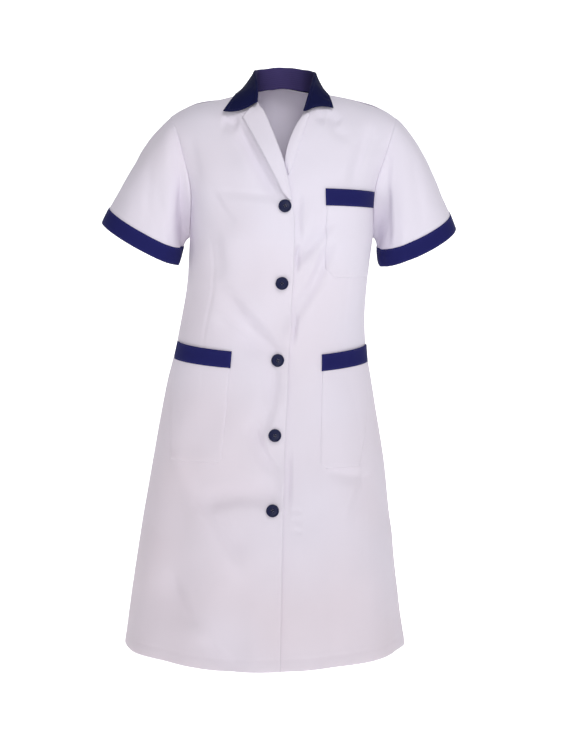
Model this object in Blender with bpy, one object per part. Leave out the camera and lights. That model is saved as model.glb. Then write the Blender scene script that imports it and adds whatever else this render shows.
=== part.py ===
"""Work tunic: a knee-length, button-through overall in white cloth with navy trims, filled out as it is worn.

Metres, +Z up. The wearer would face -Y, so the wearer's right side is at -X. The origin lies between the
side neck points, where the shoulders hold the garment. Every panel is a wall of cloth laid on one shell.
"""

import math

import bmesh
import bpy
import numpy as np
from mathutils import Vector

# Cloth and seams
WALL = 0.0015
POCKET_WALL = 0.0012
BAND_WALL = 0.0015
SEAM = 0.0003
LAP_GAP = 0.0009
REST = 0.0008
BAND_GAP = 0.0005

# Heights of the shell
ARMPIT_Z = -0.250
HEM_Z = -0.956
BREAK_Z = -0.215

# Closure
OVERLAP = 0.0165
LAP_FADE_FROM = 0.020
LAP_FADE_TO = 0.055
BUTTON_HEIGHTS = (-0.1955, -0.3225, -0.4520, -0.5760, -0.6985)
BUTTON_RADIUS = 0.0111
BUTTON_DEPTH = 0.0034
BUTTON_RIM = 0.0026
BUTTON_DISH = 0.0008
TOP_BUTTON_SHIFT = 0.002

# Neck
NECK_HALF = 0.055
NECK_BACK = 0.060
SHOULDER_HALF = 0.194
NECK_GIRTH = math.asin(NECK_HALF / SHOULDER_HALF) * 2 / math.pi

# How square the arch from chest or back to the shoulder is
FRONT_ARCH = 2.1
BACK_ARCH = 2.8

# Trims
CUFF_DEPTH = 0.028
CUFF_TUCK = 0.009
COLLAR_WALL = 0.0016
COLLAR_ROLL = 0.0026
BAND_DEPTH = 0.028

# Mesh fineness
SKIRT_ROWS = 20
YOKE_ROWS = 10
LAP_COLUMNS = 2
FRONT_COLUMNS = 16
BACK_COLUMNS = 20
COLLAR_COLUMNS = 30
COLLAR_STEPS = 8
LAPEL_COLUMNS = 3

# Steps of the search for a place on the shell, and how near the side seam that search may come
SEARCH_STEPS = 8
MOST_LATERAL = 0.9995

# Steps taken to either side of a place to find which way the shell faces there
NORMAL_STEP = 0.004

RIGHT, LEFT = -1, 1
FRONT, BACK = -1, 1

# Colours, linear, from the white cloth, the navy trims and the buttons
WHITE = (0.76, 0.74, 0.80, 1.0)
NAVY = (0.013, 0.015, 0.100, 1.0)
COLLAR_NAVY = (0.008, 0.008, 0.055, 1.0)
BUTTON_NAVY = (0.016, 0.020, 0.065, 1.0)


class Table:
    """Rows of sizes under named columns, read smoothly along the first column."""

    def __init__(self, names, *rows):
        self.names = names.split()
        self.columns = dict(zip(self.names, np.array(rows, float).T))
        self.along = self.columns[self.names[0]]

    def at(self, name, where):
        values = self.columns[name]
        slopes = np.gradient(values, self.along)
        where = np.clip(where, self.along[0], self.along[-1])
        i = np.clip(np.searchsorted(self.along, where) - 1, 0, len(self.along) - 2)
        step = self.along[i + 1] - self.along[i]
        t = (where - self.along[i]) / step
        start = (1 + 2 * t) * (1 - t) ** 2 * values[i] + t * (1 - t) ** 2 * step * slopes[i]
        end = t * t * (3 - 2 * t) * values[i + 1] - t * t * (1 - t) * step * slopes[i + 1]
        return start + end

    def rows(self):
        return [dict(zip(self.names, row)) for row in zip(*(self.columns[n] for n in self.names))]


# Level sections of the body, hem to armpit: x of the button line, half widths on the wearer's right and
# left of it, depths in front of and behind the side seams, and how square the section is.
SECTIONS = Table(
    "height closure right left front back square",
    (-0.956, -0.0365, 0.2405, 0.2465, 0.176, 0.172, 2.05),
    (-0.860, -0.0340, 0.2300, 0.2315, 0.162, 0.160, 2.10),
    (-0.740, -0.0305, 0.2150, 0.2145, 0.146, 0.145, 2.15),
    (-0.620, -0.0265, 0.1975, 0.1970, 0.131, 0.126, 2.20),
    (-0.520, -0.0215, 0.1835, 0.1755, 0.119, 0.107, 2.25),
    (-0.420, -0.0165, 0.1650, 0.1550, 0.112, 0.093, 2.25),
    (-0.330, -0.0125, 0.1535, 0.1540, 0.121, 0.096, 2.30),
    (-0.250, -0.0095, 0.1515, 0.1615, 0.129, 0.106, 2.40),
)

# Edges of the armholes from armpit to shoulder tip: half widths, how far the edge lies in front of or
# behind the side seams, and how softly the panel turns towards it.
ARMHOLES = Table(
    "share right left front back turn",
    (0.00, 0.1515, 0.1615, 0.000, 0.000, 2.40),
    (0.26, 0.1530, 0.1565, -0.055, 0.046, 1.60),
    (0.52, 0.1700, 0.1750, -0.052, 0.046, 1.35),
    (0.76, 0.1835, 0.1865, -0.036, 0.034, 1.25),
    (1.00, SHOULDER_HALF, SHOULDER_HALF, 0.000, 0.000, 1.20),
)

# Shoulder seam, from the middle of the neck out to the tip.
SHOULDER = Table(
    "out height",
    (0.000, 0.0040),
    (NECK_HALF, -0.0050),
    (0.085, -0.0108),
    (0.130, -0.0200),
    (0.160, -0.0290),
    (0.180, -0.0385),
    (SHOULDER_HALF, -0.0485),
)

# Front edges of the two fronts above the overlap: the roll line of each lapel, then the neck seam.
FRONT_EDGES = Table(
    "height right left",
    (-0.215, 0.0085, -0.0245),
    (-0.184, 0.0028, -0.0220),
    (-0.150, -0.0045, -0.0150),
    (-0.120, -0.0115, -0.0065),
    (-0.092, -0.0213, 0.0010),
    (-0.057, -0.0338, 0.0180),
    (-0.037, -0.0416, 0.0300),
    (-0.024, -0.0485, 0.0390),
    (-0.014, -0.0525, 0.0490),
    (-0.005, -0.0550, 0.0550),
)

# Soft folds of the fronts: ends of each trough on the front, half width, and depth (a ridge is negative).
FRONT_FOLDS = Table(
    "x0 z0 x1 z1 wide deep",
    (-0.108, -0.338, -0.010, -0.430, 0.017, 0.0050),
    (-0.114, -0.389, -0.058, -0.432, 0.013, 0.0030),
    (-0.026, -0.490, -0.054, -0.590, 0.018, 0.0050),
    (-0.062, -0.690, -0.155, -0.678, 0.022, 0.0050),
    (-0.189, -0.612, -0.154, -0.702, 0.020, -0.0040),
    (-0.154, -0.702, -0.093, -0.796, 0.020, -0.0040),
    (-0.202, -0.824, -0.165, -0.885, 0.020, 0.0050),
    (-0.104, -0.900, -0.084, -0.956, 0.014, 0.0045),
    (0.136, -0.078, 0.109, -0.152, 0.016, 0.0035),
    (0.061, -0.242, 0.018, -0.293, 0.015, 0.0040),
    (0.046, -0.305, 0.022, -0.379, 0.015, 0.0045),
    (0.075, -0.655, 0.130, -0.705, 0.018, 0.0040),
    (-0.100, -0.170, -0.060, -0.165, 0.014, 0.0025),
)
BACK_FOLDS = Table(
    "x0 z0 x1 z1 wide deep",
    (-0.110, -0.360, -0.020, -0.425, 0.018, 0.0050),
    (0.105, -0.350, 0.015, -0.420, 0.017, 0.0045),
    (-0.090, -0.440, -0.020, -0.470, 0.016, 0.0035),
    (0.095, -0.450, 0.030, -0.485, 0.016, 0.0035),
    (-0.130, -0.150, -0.085, -0.235, 0.017, 0.0035),
    (0.130, -0.150, 0.090, -0.230, 0.017, 0.0035),
)

# Flutes that open towards the hem: place round the girth, half width, and depth at the hem.
FRONT_FLUTES = Table(
    "girth wide deep",
    (-0.72, 0.10, -0.0040),
    (-0.50, 0.09, 0.0055),
    (-0.26, 0.09, -0.0035),
    (0.30, 0.08, 0.0040),
    (0.52, 0.10, -0.0045),
    (0.76, 0.09, 0.0050),
)
BACK_FLUTES = Table(
    "girth wide deep",
    (-0.74, 0.09, 0.0060),
    (-0.46, 0.11, -0.0060),
    (-0.18, 0.10, 0.0065),
    (0.10, 0.10, -0.0060),
    (0.38, 0.10, 0.0070),
    (0.68, 0.11, -0.0060),
)
FLUTE_TOP = -0.500

# How much lower than HEM_Z the hem hangs round each half of the girth.
HEM_DROP = Table(
    "girth front back",
    (-1.00, -0.0060, -0.0060),
    (-0.60, -0.0010, -0.0020),
    (-0.20, 0.0085, 0.0010),
    (0.30, 0.0085, 0.0010),
    (0.70, 0.0035, 0.0005),
    (1.00, 0.0000, 0.0000),
)

# Collar stations from the wearer's right front end round the back to the left one: share of the neck seam,
# top of the roll, outer edge of the leaf (on the front or the back) by x and height, then how far the leaf
# droops and hollows halfway.
COLLAR_LAST = 10
COLLAR_ROWS = Table(
    "station neck roll_x roll_y roll_z face edge_x edge_z droop sag",
    (0, 0.000, -0.0520, -0.0790, -0.0250, -1, -0.1049, -0.0420, 0.0060, 0.0000),
    (1, 0.069, -0.0495, -0.0600, 0.0000, -1, -0.0939, -0.0283, 0.0015, 0.0000),
    (2, 0.162, -0.0500, -0.0290, 0.0200, -1, -0.0827, -0.0142, 0.0020, 0.0020),
    (3, 0.274, -0.0495, 0.0060, 0.0318, 1, -0.0800, -0.0125, 0.0010, 0.0060),
    (4, 0.387, -0.0390, 0.0420, 0.0360, 1, -0.0640, -0.0185, -0.0020, 0.0020),
    (5, 0.490, 0.0000, 0.0590, 0.0408, 1, 0.0000, -0.0080, 0.0000, 0.0000),
    (6, 0.593, 0.0400, 0.0420, 0.0357, 1, 0.0610, -0.0195, -0.0020, 0.0010),
    (7, 0.706, 0.0535, 0.0060, 0.0290, 1, 0.0735, -0.0110, 0.0010, 0.0020),
    (8, 0.818, 0.0475, -0.0300, 0.0150, -1, 0.0724, -0.0152, 0.0010, 0.0010),
    (9, 0.912, 0.0395, -0.0620, -0.0080, -1, 0.0746, -0.0265, 0.0000, 0.0000),
    (10, 1.000, 0.0295, -0.0840, -0.0385, -1, 0.0772, -0.0370, -0.0050, 0.0000),
)

# Heights of the collar's two ends on the neck seam, its stand's gap from the seam, and the leaf's from the
# shell; then where stand and roll end across the collar, and which way the leaf droops.
COLLAR_ENDS = (-0.0245, -0.0365)
COLLAR_CLEAR = 0.0024
LEAF_CLEAR = 0.0052
STAND_SHARE = 0.25
ROLL_SHARE = 0.50
DROOP_WAY = (0.0, -0.7, -2.0)

# Lapels, top to bottom: x and height of the roll edge and of the outer edge, and how far each stands off.
LAPEL_PUFF = 0.0010
LAPEL_NAMES = "row roll_x roll_z edge_x edge_z lift"
LAPEL_RIGHT = Table(
    LAPEL_NAMES,
    (0, -0.0510, -0.0290, -0.0730, -0.0505, 0.0022),
    (1, -0.0405, -0.0420, -0.0615, -0.0735, 0.0026),
    (2, -0.0300, -0.0690, -0.0500, -0.0960, 0.0030),
    (3, -0.0200, -0.0970, -0.0370, -0.1215, 0.0032),
    (4, -0.0105, -0.1260, -0.0240, -0.1470, 0.0036),
    (5, -0.0030, -0.1580, -0.0110, -0.1725, 0.0052),
    (6, 0.0034, -0.1840, -0.0018, -0.1890, 0.0068),
)
LAPEL_LEFT = Table(
    LAPEL_NAMES,
    (0, 0.0310, -0.0420, 0.0375, -0.0450, 0.0022),
    (1, 0.0190, -0.0560, 0.0300, -0.0610, 0.0024),
    (2, 0.0080, -0.0760, 0.0215, -0.0860, 0.0024),
    (3, -0.0010, -0.1000, 0.0125, -0.1080, 0.0022),
    (4, -0.0050, -0.1225, 0.0060, -0.1270, 0.0020),
    (5, -0.0010, -0.1375, 0.0010, -0.1420, 0.0016),
)

# Patch pockets: side, top height at the inner and outer end, distance of the inner edge from the button
# line at top and bottom, girth of the outer edge at top and bottom, height of the lower edge, and the cut corner.
POCKETS = {
    "chest": dict(side=LEFT, top=-0.1668, outer_top=-0.1730, inner=0.0715, low_inner=0.0740,
                  outer=0.86, low_outer=0.86, bottom=-0.3150, corner=0.014),
    "hip_right": dict(side=RIGHT, top=-0.4370, outer_top=-0.4260, inner=0.0785, low_inner=0.0865,
                      outer=0.89, low_outer=0.64, bottom=-0.6220, corner=0.007),
    "hip_left": dict(side=LEFT, top=-0.4430, outer_top=-0.4325, inner=0.0745, low_inner=0.0800,
                     outer=0.88, low_outer=0.53, bottom=-0.6330, corner=0.010),
}
POCKET_COLUMNS = 8
POCKET_ROWS = 7

# How far a pocket bags, how far its own edge hides below the band's, and how far the band stands past it.
POCKET_BAG = 0.0015
POCKET_TUCK = 0.003
BAND_PROUD = 0.0012
POCKET_WIDTH = 0.100

# Sleeves: outer and inner corner of the opening seen from the front, its half depth, and how far its
# front edge dips for each metre forward.
SLEEVES = {
    "right": dict(side=RIGHT, outer=(-0.3095, -0.2250), inner=(-0.1815, -0.2940), depth=0.060, dip=0.18),
    "left": dict(side=LEFT, outer=(0.2970, -0.2340), inner=(0.1660, -0.2975), depth=0.060, dip=0.20),
}
SLEEVE_ROWS = 7

# A sleeve leaves the armhole clear of the body: gap and way out at the shoulder tip and at the armpit (out,
# forward, down), then how long it keeps that way, and how long it runs square to its opening.
SLEEVE_GAPS = (0.0006, 0.0022)
SLEEVE_WAY_TOP = (0.74, 0.30, -0.66)
SLEEVE_WAY_LOW = (0.94, 0.30, -0.36)
SLEEVE_START = 0.30
SLEEVE_END = 0.32


def clear_scene():
    """Removes what the scene starts with."""
    for obj in list(bpy.data.objects):
        bpy.data.objects.remove(obj, do_unlink=True)
    for mesh in list(bpy.data.meshes):
        bpy.data.meshes.remove(mesh)


def make_material(name, colour, roughness):
    """A plain finish of one colour."""
    material = bpy.data.materials.new(name)
    material.use_nodes = True
    shader = material.node_tree.nodes["Principled BSDF"]
    shader.inputs["Base Color"].default_value = colour
    shader.inputs["Roughness"].default_value = roughness
    shader.inputs["Metallic"].default_value = 0.0
    material.diffuse_color = colour
    return material


def side_column(table, lateral, where):
    """A half width: the column of the side that the signed place lies on."""
    return np.where(lateral < 0, table.at("right", where), table.at("left", where))


def half_width(lateral, low_z, share):
    """Half width on the side that the signed place lies on, below the armpit or at a share above it."""
    above, below = side_column(ARMHOLES, lateral, share), side_column(SECTIONS, lateral, low_z)
    return np.where(share > 0, above, below)


def shell(face, girth, rise):
    """Points of the body shell, with no folds.

    girth runs from -1 at the wearer's right side seam to 1 at the left one. rise is metres below the armpit
    where negative, and the share of the way from armpit to shoulder seam where positive.
    """
    girth, rise = np.broadcast_arrays(np.asarray(girth, float), np.asarray(rise, float))
    lateral = np.sin(math.pi / 2 * girth)
    low_z = ARMPIT_Z + np.minimum(rise, 0)
    share = np.clip(rise, 0, 1)
    depth_name = "front" if face == FRONT else "back"
    depth = face * SECTIONS.at(depth_name, low_z)
    square = SECTIONS.at("square", low_z)
    upper = rise > 0

    x = SECTIONS.at("closure", low_z) * (1 - share) + lateral * half_width(lateral, low_z, share)

    climb = np.sin(math.pi / 2 * share)
    seam_z = SHOULDER.at("height", np.abs(lateral) * SHOULDER_HALF)
    sag = np.clip((FLUTE_TOP - low_z) / (FLUTE_TOP - HEM_Z), 0, 1) ** 2
    dropped = low_z - HEM_DROP.at(depth_name, girth) * sag
    z = np.where(upper, ARMPIT_Z + (seam_z - ARMPIT_Z) * climb, dropped)

    power = FRONT_ARCH if face == FRONT else BACK_ARCH
    arch = np.clip(1 - climb**power, 0, 1) ** (1 / power)
    across_neck = np.clip(1 - (lateral * SHOULDER_HALF / NECK_HALF) ** 2, 0, 1)
    top = NECK_BACK * np.sqrt(across_neck) if face == BACK else 0.0 * lateral
    crown = top + (depth - top) * arch
    edge = ARMHOLES.at(depth_name, share)
    turn = np.where(upper, ARMHOLES.at("turn", share), square)
    fall = np.clip(1 - np.abs(lateral) ** square, 0, 1) ** (1 / turn)
    y = edge + (crown - edge) * fall + face * SEAM / 2 * (1 + share)
    return np.stack([x, y, z], -1)


def shell_normals(face, girth, rise):
    """Unit normals of the shell, facing out."""
    girth, rise = np.asarray(girth, float), np.asarray(rise, float)
    wide_low = np.clip(girth - NORMAL_STEP, -1, 1)
    wide_high = np.clip(girth + NORMAL_STEP, -1, 1)
    up_low = np.minimum(rise - NORMAL_STEP, 1 - 2 * NORMAL_STEP)
    up_high = np.minimum(rise + NORMAL_STEP, 1)
    across = shell(face, wide_high, rise) - shell(face, wide_low, rise)
    along = shell(face, girth, up_high) - shell(face, girth, up_low)
    normal = np.cross(across, along) * -face
    return normal / np.linalg.norm(normal, axis=-1, keepdims=True)


def fold_depth(folds, x, z):
    """How far the listed troughs sink at each place, tapering to nothing at their ends."""
    total = np.zeros(np.broadcast(x, z).shape)
    for fold in folds.rows():
        run_x, run_z = fold["x1"] - fold["x0"], fold["z1"] - fold["z0"]
        length = math.hypot(run_x, run_z)
        along = ((x - fold["x0"]) * run_x + (z - fold["z0"]) * run_z) / length
        across = ((x - fold["x0"]) * run_z - (z - fold["z0"]) * run_x) / length
        middle = np.clip((along / length - 0.5) * 1.6, -1.6, 1.6)
        total += fold["deep"] * np.exp(-((across / fold["wide"]) ** 2) - middle**4)
    return total


def flute_depth(flutes, girth, z):
    """How far the flutes sink at each place, opening from FLUTE_TOP to the hem."""
    opening = np.clip((FLUTE_TOP - z) / (FLUTE_TOP - HEM_Z), 0, 1) ** 1.3
    total = np.zeros(np.broadcast(girth, z).shape)
    for flute in flutes.rows():
        total += flute["deep"] * np.exp(-(((girth - flute["girth"]) / flute["wide"]) ** 2)) * opening
    return total


def cloth(face, girth, rise, out=0.0):
    """Points of the folded cloth, moved out by the given distance along the shell's normals."""
    points = shell(face, girth, rise)
    x, z = points[..., 0], points[..., 2]
    front = face == FRONT
    sunk = fold_depth(FRONT_FOLDS if front else BACK_FOLDS, x, z)
    sunk = sunk + flute_depth(FRONT_FLUTES if front else BACK_FLUTES, girth, z)
    # The folds end before the side seams, so that front and back still meet there.
    sunk = sunk * np.clip((1 - np.abs(girth)) * 8, 0, 1)
    return points + shell_normals(face, girth, rise) * (out - sunk)[..., None]


def rise_at(girth, z):
    """Rise of the place at a girth with the given height."""
    out = np.abs(np.sin(math.pi / 2 * girth)) * SHOULDER_HALF
    climb = np.clip((z - ARMPIT_Z) / (SHOULDER.at("height", out) - ARMPIT_Z), 0, 1)
    return np.where(z > ARMPIT_Z, np.arcsin(climb) * 2 / math.pi, z - ARMPIT_Z)


def place_on_front(x, z):
    """Girth and rise of the front's point with the given x and height."""
    x, z = np.broadcast_arrays(np.asarray(x, float), np.asarray(z, float))
    low_z = np.minimum(z, ARMPIT_Z)
    lateral = x / SECTIONS.at("left", ARMPIT_Z)
    for _ in range(SEARCH_STEPS):
        seam_z = SHOULDER.at("height", np.abs(lateral) * SHOULDER_HALF)
        climb = np.clip((z - ARMPIT_Z) / (seam_z - ARMPIT_Z), 0, 1)
        share = np.arcsin(climb) * 2 / math.pi
        closure = SECTIONS.at("closure", low_z) * (1 - share)
        lateral = np.clip((x - closure) / half_width(lateral, low_z, share), -MOST_LATERAL, MOST_LATERAL)
    return np.arcsin(lateral) * 2 / math.pi, np.where(z > ARMPIT_Z, share, low_z - ARMPIT_Z)


def lap(side, x, z):
    """How far the over front stands out, and the under front in, where they lap."""
    closure = SECTIONS.at("closure", np.minimum(z, ARMPIT_Z))
    away = np.clip((np.abs(x - closure) - LAP_FADE_FROM) / (LAP_FADE_TO - LAP_FADE_FROM), 0, 1)
    eased = 1 - away * away * (3 - 2 * away)
    return -side * (WALL + LAP_GAP) / 2 * eased


def on_front(side, x, z, out=0.0):
    """Point on one of the fronts at the given x and height, moved out from the middle of its wall."""
    girth, rise = place_on_front(x, z)
    return cloth(FRONT, girth, rise, out + lap(side, x, z))


def front_edge_x(side, z):
    """x of a front's free edge at each height: down the closure, then along the roll and the neck."""
    name = "right" if side == RIGHT else "left"
    straight = SECTIONS.at("closure", z) - side * OVERLAP
    return np.where(z < BREAK_Z, straight, FRONT_EDGES.at(name, z))


def front_surface(side, u, v):
    """One front, from its front edge (u = 0) to side seam and armhole (u = 1), hem (v = 0) to shoulder."""
    rise = panel_rise(v)
    edge_girth = np.zeros(np.shape(v))
    for _ in range(SEARCH_STEPS):
        z = shell(FRONT, edge_girth, rise)[..., 2]
        edge_girth = place_on_front(front_edge_x(side, z), z)[0]
        edge_girth = np.where(v >= 1, side * NECK_GIRTH, edge_girth)
    # The columns over the overlap are the same on both fronts, so that one lies true on the other.
    lap_share = LAP_COLUMNS / FRONT_COLUMNS
    reach = side_column(SECTIONS, -side, ARMPIT_Z + np.minimum(rise, 0))
    lap_girth = edge_girth + side * 4 / math.pi * OVERLAP / reach
    near = edge_girth + (lap_girth - edge_girth) * u / lap_share
    far = lap_girth + (side - lap_girth) * (u - lap_share) / (1 - lap_share)
    girth = np.where(u <= lap_share, near, far)
    plain = shell(FRONT, girth, rise)
    return cloth(FRONT, girth, rise, lap(side, plain[..., 0], plain[..., 2]))


def panel_rise(v):
    """Hem to armpit takes the first part of v, and armpit to shoulder the rest."""
    skirt = SKIRT_ROWS / (SKIRT_ROWS + YOKE_ROWS)
    low = (np.minimum(v, skirt) / skirt - 1) * (ARMPIT_Z - HEM_Z)
    high = (v - skirt) / (1 - skirt)
    return np.where(v > skirt + 1e-9, high, low)


def back_surface(u, v):
    """The back, from the wearer's right side seam to the left one, hem to shoulder."""
    return cloth(BACK, 2 * u - 1, panel_rise(v))


def armhole(side, turn):
    """Points of an armhole's edge: turn is 0 at the shoulder tip, a quarter in front, half at the armpit."""
    front = turn <= 0.5
    share = np.where(front, 1 - 2 * turn, 2 * turn - 1)
    ahead = shell(FRONT, side * np.ones_like(share), share)
    behind = shell(BACK, side * np.ones_like(share), share)
    return np.where(front[..., None], ahead, behind)


def sleeve_surface(spec, turn, back_from_end, out=0.0):
    """Points of a sleeve: turn goes round it, and back_from_end is metres from its opening."""
    side = spec["side"]
    angle = 2 * math.pi * turn
    low = (1 - np.cos(angle)) / 2
    outer = np.array([spec["outer"][0], 0, spec["outer"][1]])
    inner = np.array([spec["inner"][0], 0, spec["inner"][1]])
    middle = (outer + inner) / 2
    half = (outer - inner) / 2
    forward = np.array([0, -1, -spec["dip"]]) * spec["depth"]
    end = middle + np.cos(angle)[..., None] * half + np.sin(angle)[..., None] * forward
    axis = np.cross(half, forward)
    axis = axis / np.linalg.norm(axis)
    axis = axis if axis[2] < 0 else -axis

    way = [top + (bottom - top) * low for top, bottom in zip(SLEEVE_WAY_TOP, SLEEVE_WAY_LOW)]
    lean = np.stack([side * way[0], -way[1] * np.sin(angle), way[2]], -1)
    lean = lean / np.linalg.norm(lean, axis=-1, keepdims=True)
    gap = SLEEVE_GAPS[0] + (SLEEVE_GAPS[1] - SLEEVE_GAPS[0]) * low
    start = armhole(side, turn) + lean * gap[..., None]
    span = np.linalg.norm(end - start, axis=-1)
    first = start + lean * (SLEEVE_START * span)[..., None]
    second = end - axis * (SLEEVE_END * span)[..., None]
    t = np.clip(1 - back_from_end / span, 0, 1)[..., None]
    line = (1 - t) ** 3 * start + 3 * t * (1 - t) ** 2 * first + 3 * t * t * (1 - t) * second + t**3 * end
    radial = end - middle
    radial = radial / np.linalg.norm(radial, axis=-1, keepdims=True)
    return line + radial * out


def sleeve_length(spec, turn):
    """Straight distance from the armhole to the opening at each place round a sleeve."""
    end = sleeve_surface(spec, turn, np.zeros_like(turn))
    start = sleeve_surface(spec, turn, np.full_like(turn, 10.0))
    return np.linalg.norm(end - start, axis=-1)


def bezier(points, t):
    """Points of a curve from the first point to the last, drawn towards the middle one."""
    a, b, c = points
    return (1 - t) ** 2 * a + 2 * t * (1 - t) * b + t * t * c


def neck_line():
    """The neck seam as points at even shares of its length, from the collar's right end to its left one."""
    steps = np.linspace(0, 1, 60)
    run = []
    for side, end in zip((RIGHT, LEFT), COLLAR_ENDS):
        z = end + (FRONT_EDGES.along[-1] - end) * steps
        front = on_front(side, FRONT_EDGES.at("right" if side == RIGHT else "left", z), z)
        run.append(front[front[:, 1] < 0])
    back = shell(BACK, (2 * steps - 1) * NECK_GIRTH, np.ones_like(steps))
    points = np.concatenate([run[0], back, run[1][::-1]])
    length = np.concatenate([[0], np.cumsum(np.linalg.norm(np.diff(points, axis=0), axis=1))])
    even = np.linspace(0, length[-1], 200)
    return np.stack([np.interp(even, length, points[:, i]) for i in range(3)], -1)


def collar_stations():
    """The collar's sizes as points: each station's place on the neck seam and its leaf's outer edge."""
    line = neck_line()
    rows = []
    for row in COLLAR_ROWS.rows():
        place = row["neck"] * (len(line) - 1)
        seam = [np.interp(place, np.arange(len(line)), line[:, i]) for i in range(3)]
        face = int(row["face"])
        girth, rise = place_on_front(row["edge_x"], row["edge_z"])
        edge = shell(face, girth, rise) + shell_normals(face, girth, rise) * LEAF_CLEAR
        rows.append((row["station"], *seam, *edge))
    return Table("station seam_x seam_y seam_z edge_x edge_y edge_z", *rows)


def collar_surface(u, v, stations):
    """The collar: u from the wearer's right front end round the back to the left one, v from neck seam
    over the roll to the outer edge of the leaf."""
    station = u * COLLAR_LAST
    seam = np.stack([stations.at(name, station) for name in ("seam_x", "seam_y", "seam_z")], -1)
    edge = np.stack([stations.at(name, station) for name in ("edge_x", "edge_y", "edge_z")], -1)
    roll = np.stack([COLLAR_ROWS.at(name, station) for name in ("roll_x", "roll_y", "roll_z")], -1)
    droop = COLLAR_ROWS.at("droop", station)[..., None]

    outward = edge - seam
    outward = outward / np.linalg.norm(outward, axis=-1, keepdims=True)
    top = roll - (seam + edge) / 2
    top = top - outward * np.sum(top * outward, axis=-1, keepdims=True)
    top = top / np.linalg.norm(top, axis=-1, keepdims=True)
    centre = roll - top * COLLAR_ROLL
    inside = centre - outward * COLLAR_ROLL
    outside = centre + outward * COLLAR_ROLL
    rise = inside - seam
    seam = seam + rise / np.linalg.norm(rise, axis=-1, keepdims=True) * COLLAR_CLEAR

    t = v[..., None]
    rising = np.clip(t / STAND_SHARE, 0, 1)
    over = np.clip((t - STAND_SHARE) / (ROLL_SHARE - STAND_SHARE), 0, 1) * math.pi
    falling = np.clip((t - ROLL_SHARE) / (1 - ROLL_SHARE), 0, 1)
    stand = seam + (inside - seam) * rising
    bend = centre - outward * COLLAR_ROLL * np.cos(over) + top * COLLAR_ROLL * np.sin(over)
    sag = COLLAR_ROWS.at("sag", station)[..., None]
    control = (outside + edge) / 2 + np.array(DROOP_WAY) * droop - top * sag
    leaf = bezier((outside, control, edge), falling)
    return np.where(t < STAND_SHARE, stand, np.where(t < ROLL_SHARE, bend, leaf))


def lapel_surface(side, table, u, v):
    """A lapel lying on its front: u from the roll edge to the outer edge, v from top to bottom."""
    row = v * table.along[-1]
    x = table.at("roll_x", row) + (table.at("edge_x", row) - table.at("roll_x", row)) * u
    z = table.at("roll_z", row) + (table.at("edge_z", row) - table.at("roll_z", row)) * u
    puff = LAPEL_PUFF * np.sin(math.pi * u)
    return on_front(side, x, z, table.at("lift", row) + puff)


def pocket_frame(spec, u, v, top_z, bottom_z):
    """Girth and height of a place on a pocket: u from inner to outer edge, v from top to bottom."""
    side = spec["side"]
    level = top_z + (bottom_z - top_z) * v
    depth = np.clip((spec["top"] - level) / (spec["top"] - spec["bottom"]), 0, 1)
    z = level + (spec["outer_top"] - spec["top"]) * u * (1 - depth)
    inner = spec["inner"] + (spec["low_inner"] - spec["inner"]) * depth
    cut = np.clip(1 - (z - spec["bottom"]) / spec["corner"], 0, 1) * spec["corner"]
    closure = SECTIONS.at("closure", np.minimum(z, ARMPIT_Z))
    girth = place_on_front(closure + side * (inner + cut), z)[0]
    outer = spec["outer"] + (spec["low_outer"] - spec["outer"]) * depth
    girth = girth + (side * outer - girth) * u
    return girth, rise_at(girth, z)


def pocket_surface(spec, u, v):
    """A pocket's bag of cloth, laid on its front."""
    girth, rise = pocket_frame(spec, u, v, spec["top"] - POCKET_TUCK, spec["bottom"])
    bag = POCKET_BAG * np.sin(math.pi * u) * np.sin(math.pi * np.clip(v, 0, 1))
    plain = shell(FRONT, girth, rise)
    out = (WALL + POCKET_WALL) / 2 + REST + bag + lap(spec["side"], plain[..., 0], plain[..., 2])
    return cloth(FRONT, girth, rise, out)


def band_surface(spec, u, v):
    """The band over a pocket's top edge, from that pocket's points moved out."""
    u = 0.5 + (u - 0.5) * (1 + 2 * BAND_PROUD / POCKET_WIDTH)
    top = spec["top"]
    girth, rise = pocket_frame(spec, u, v, top, top - BAND_DEPTH)
    reach = (BAND_DEPTH * v + POCKET_TUCK) / (top - POCKET_TUCK - spec["bottom"])
    bag = POCKET_BAG * np.sin(math.pi * np.clip(u, 0, 1)) * np.sin(math.pi * np.clip(reach, 0, 1))
    plain = shell(FRONT, girth, rise)
    out = WALL / 2 + POCKET_WALL + BAND_WALL / 2 + REST + BAND_GAP + bag
    return cloth(FRONT, girth, rise, out + lap(spec["side"], plain[..., 0], plain[..., 2]))


def make_sheet(name, surface, columns, rows, wall, material, mirrored=False):
    """A wall of cloth: a grid whose points are placed by the surface function, thickened to both sides.

    A mirrored sheet runs its columns the other way, so that its facets lie true on its neighbour's.
    """
    bm = bmesh.new()
    bmesh.ops.create_grid(bm, x_segments=columns, y_segments=rows, size=1)
    bm.verts.ensure_lookup_table()
    places = np.array([vert.co[:2] for vert in bm.verts])
    u = np.round((places[:, 0] + 1) / 2 * columns) / columns
    v = np.round((places[:, 1] + 1) / 2 * rows) / rows
    u = 1 - u if mirrored else u
    for vert, point in zip(bm.verts, surface(u, v)):
        vert.co = Vector(point)
    bmesh.ops.remove_doubles(bm, verts=bm.verts, dist=1e-6)
    bmesh.ops.triangulate(bm, faces=bm.faces, quad_method="FIXED")
    mesh = bpy.data.meshes.new(name)
    bm.to_mesh(mesh)
    bm.free()
    mesh.shade_smooth()
    obj = bpy.data.objects.new(name, mesh)
    bpy.context.scene.collection.objects.link(obj)
    obj.data.materials.append(material)
    solidify = obj.modifiers.new("wall", "SOLIDIFY")
    solidify.thickness = wall
    solidify.offset = 0
    return obj


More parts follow.
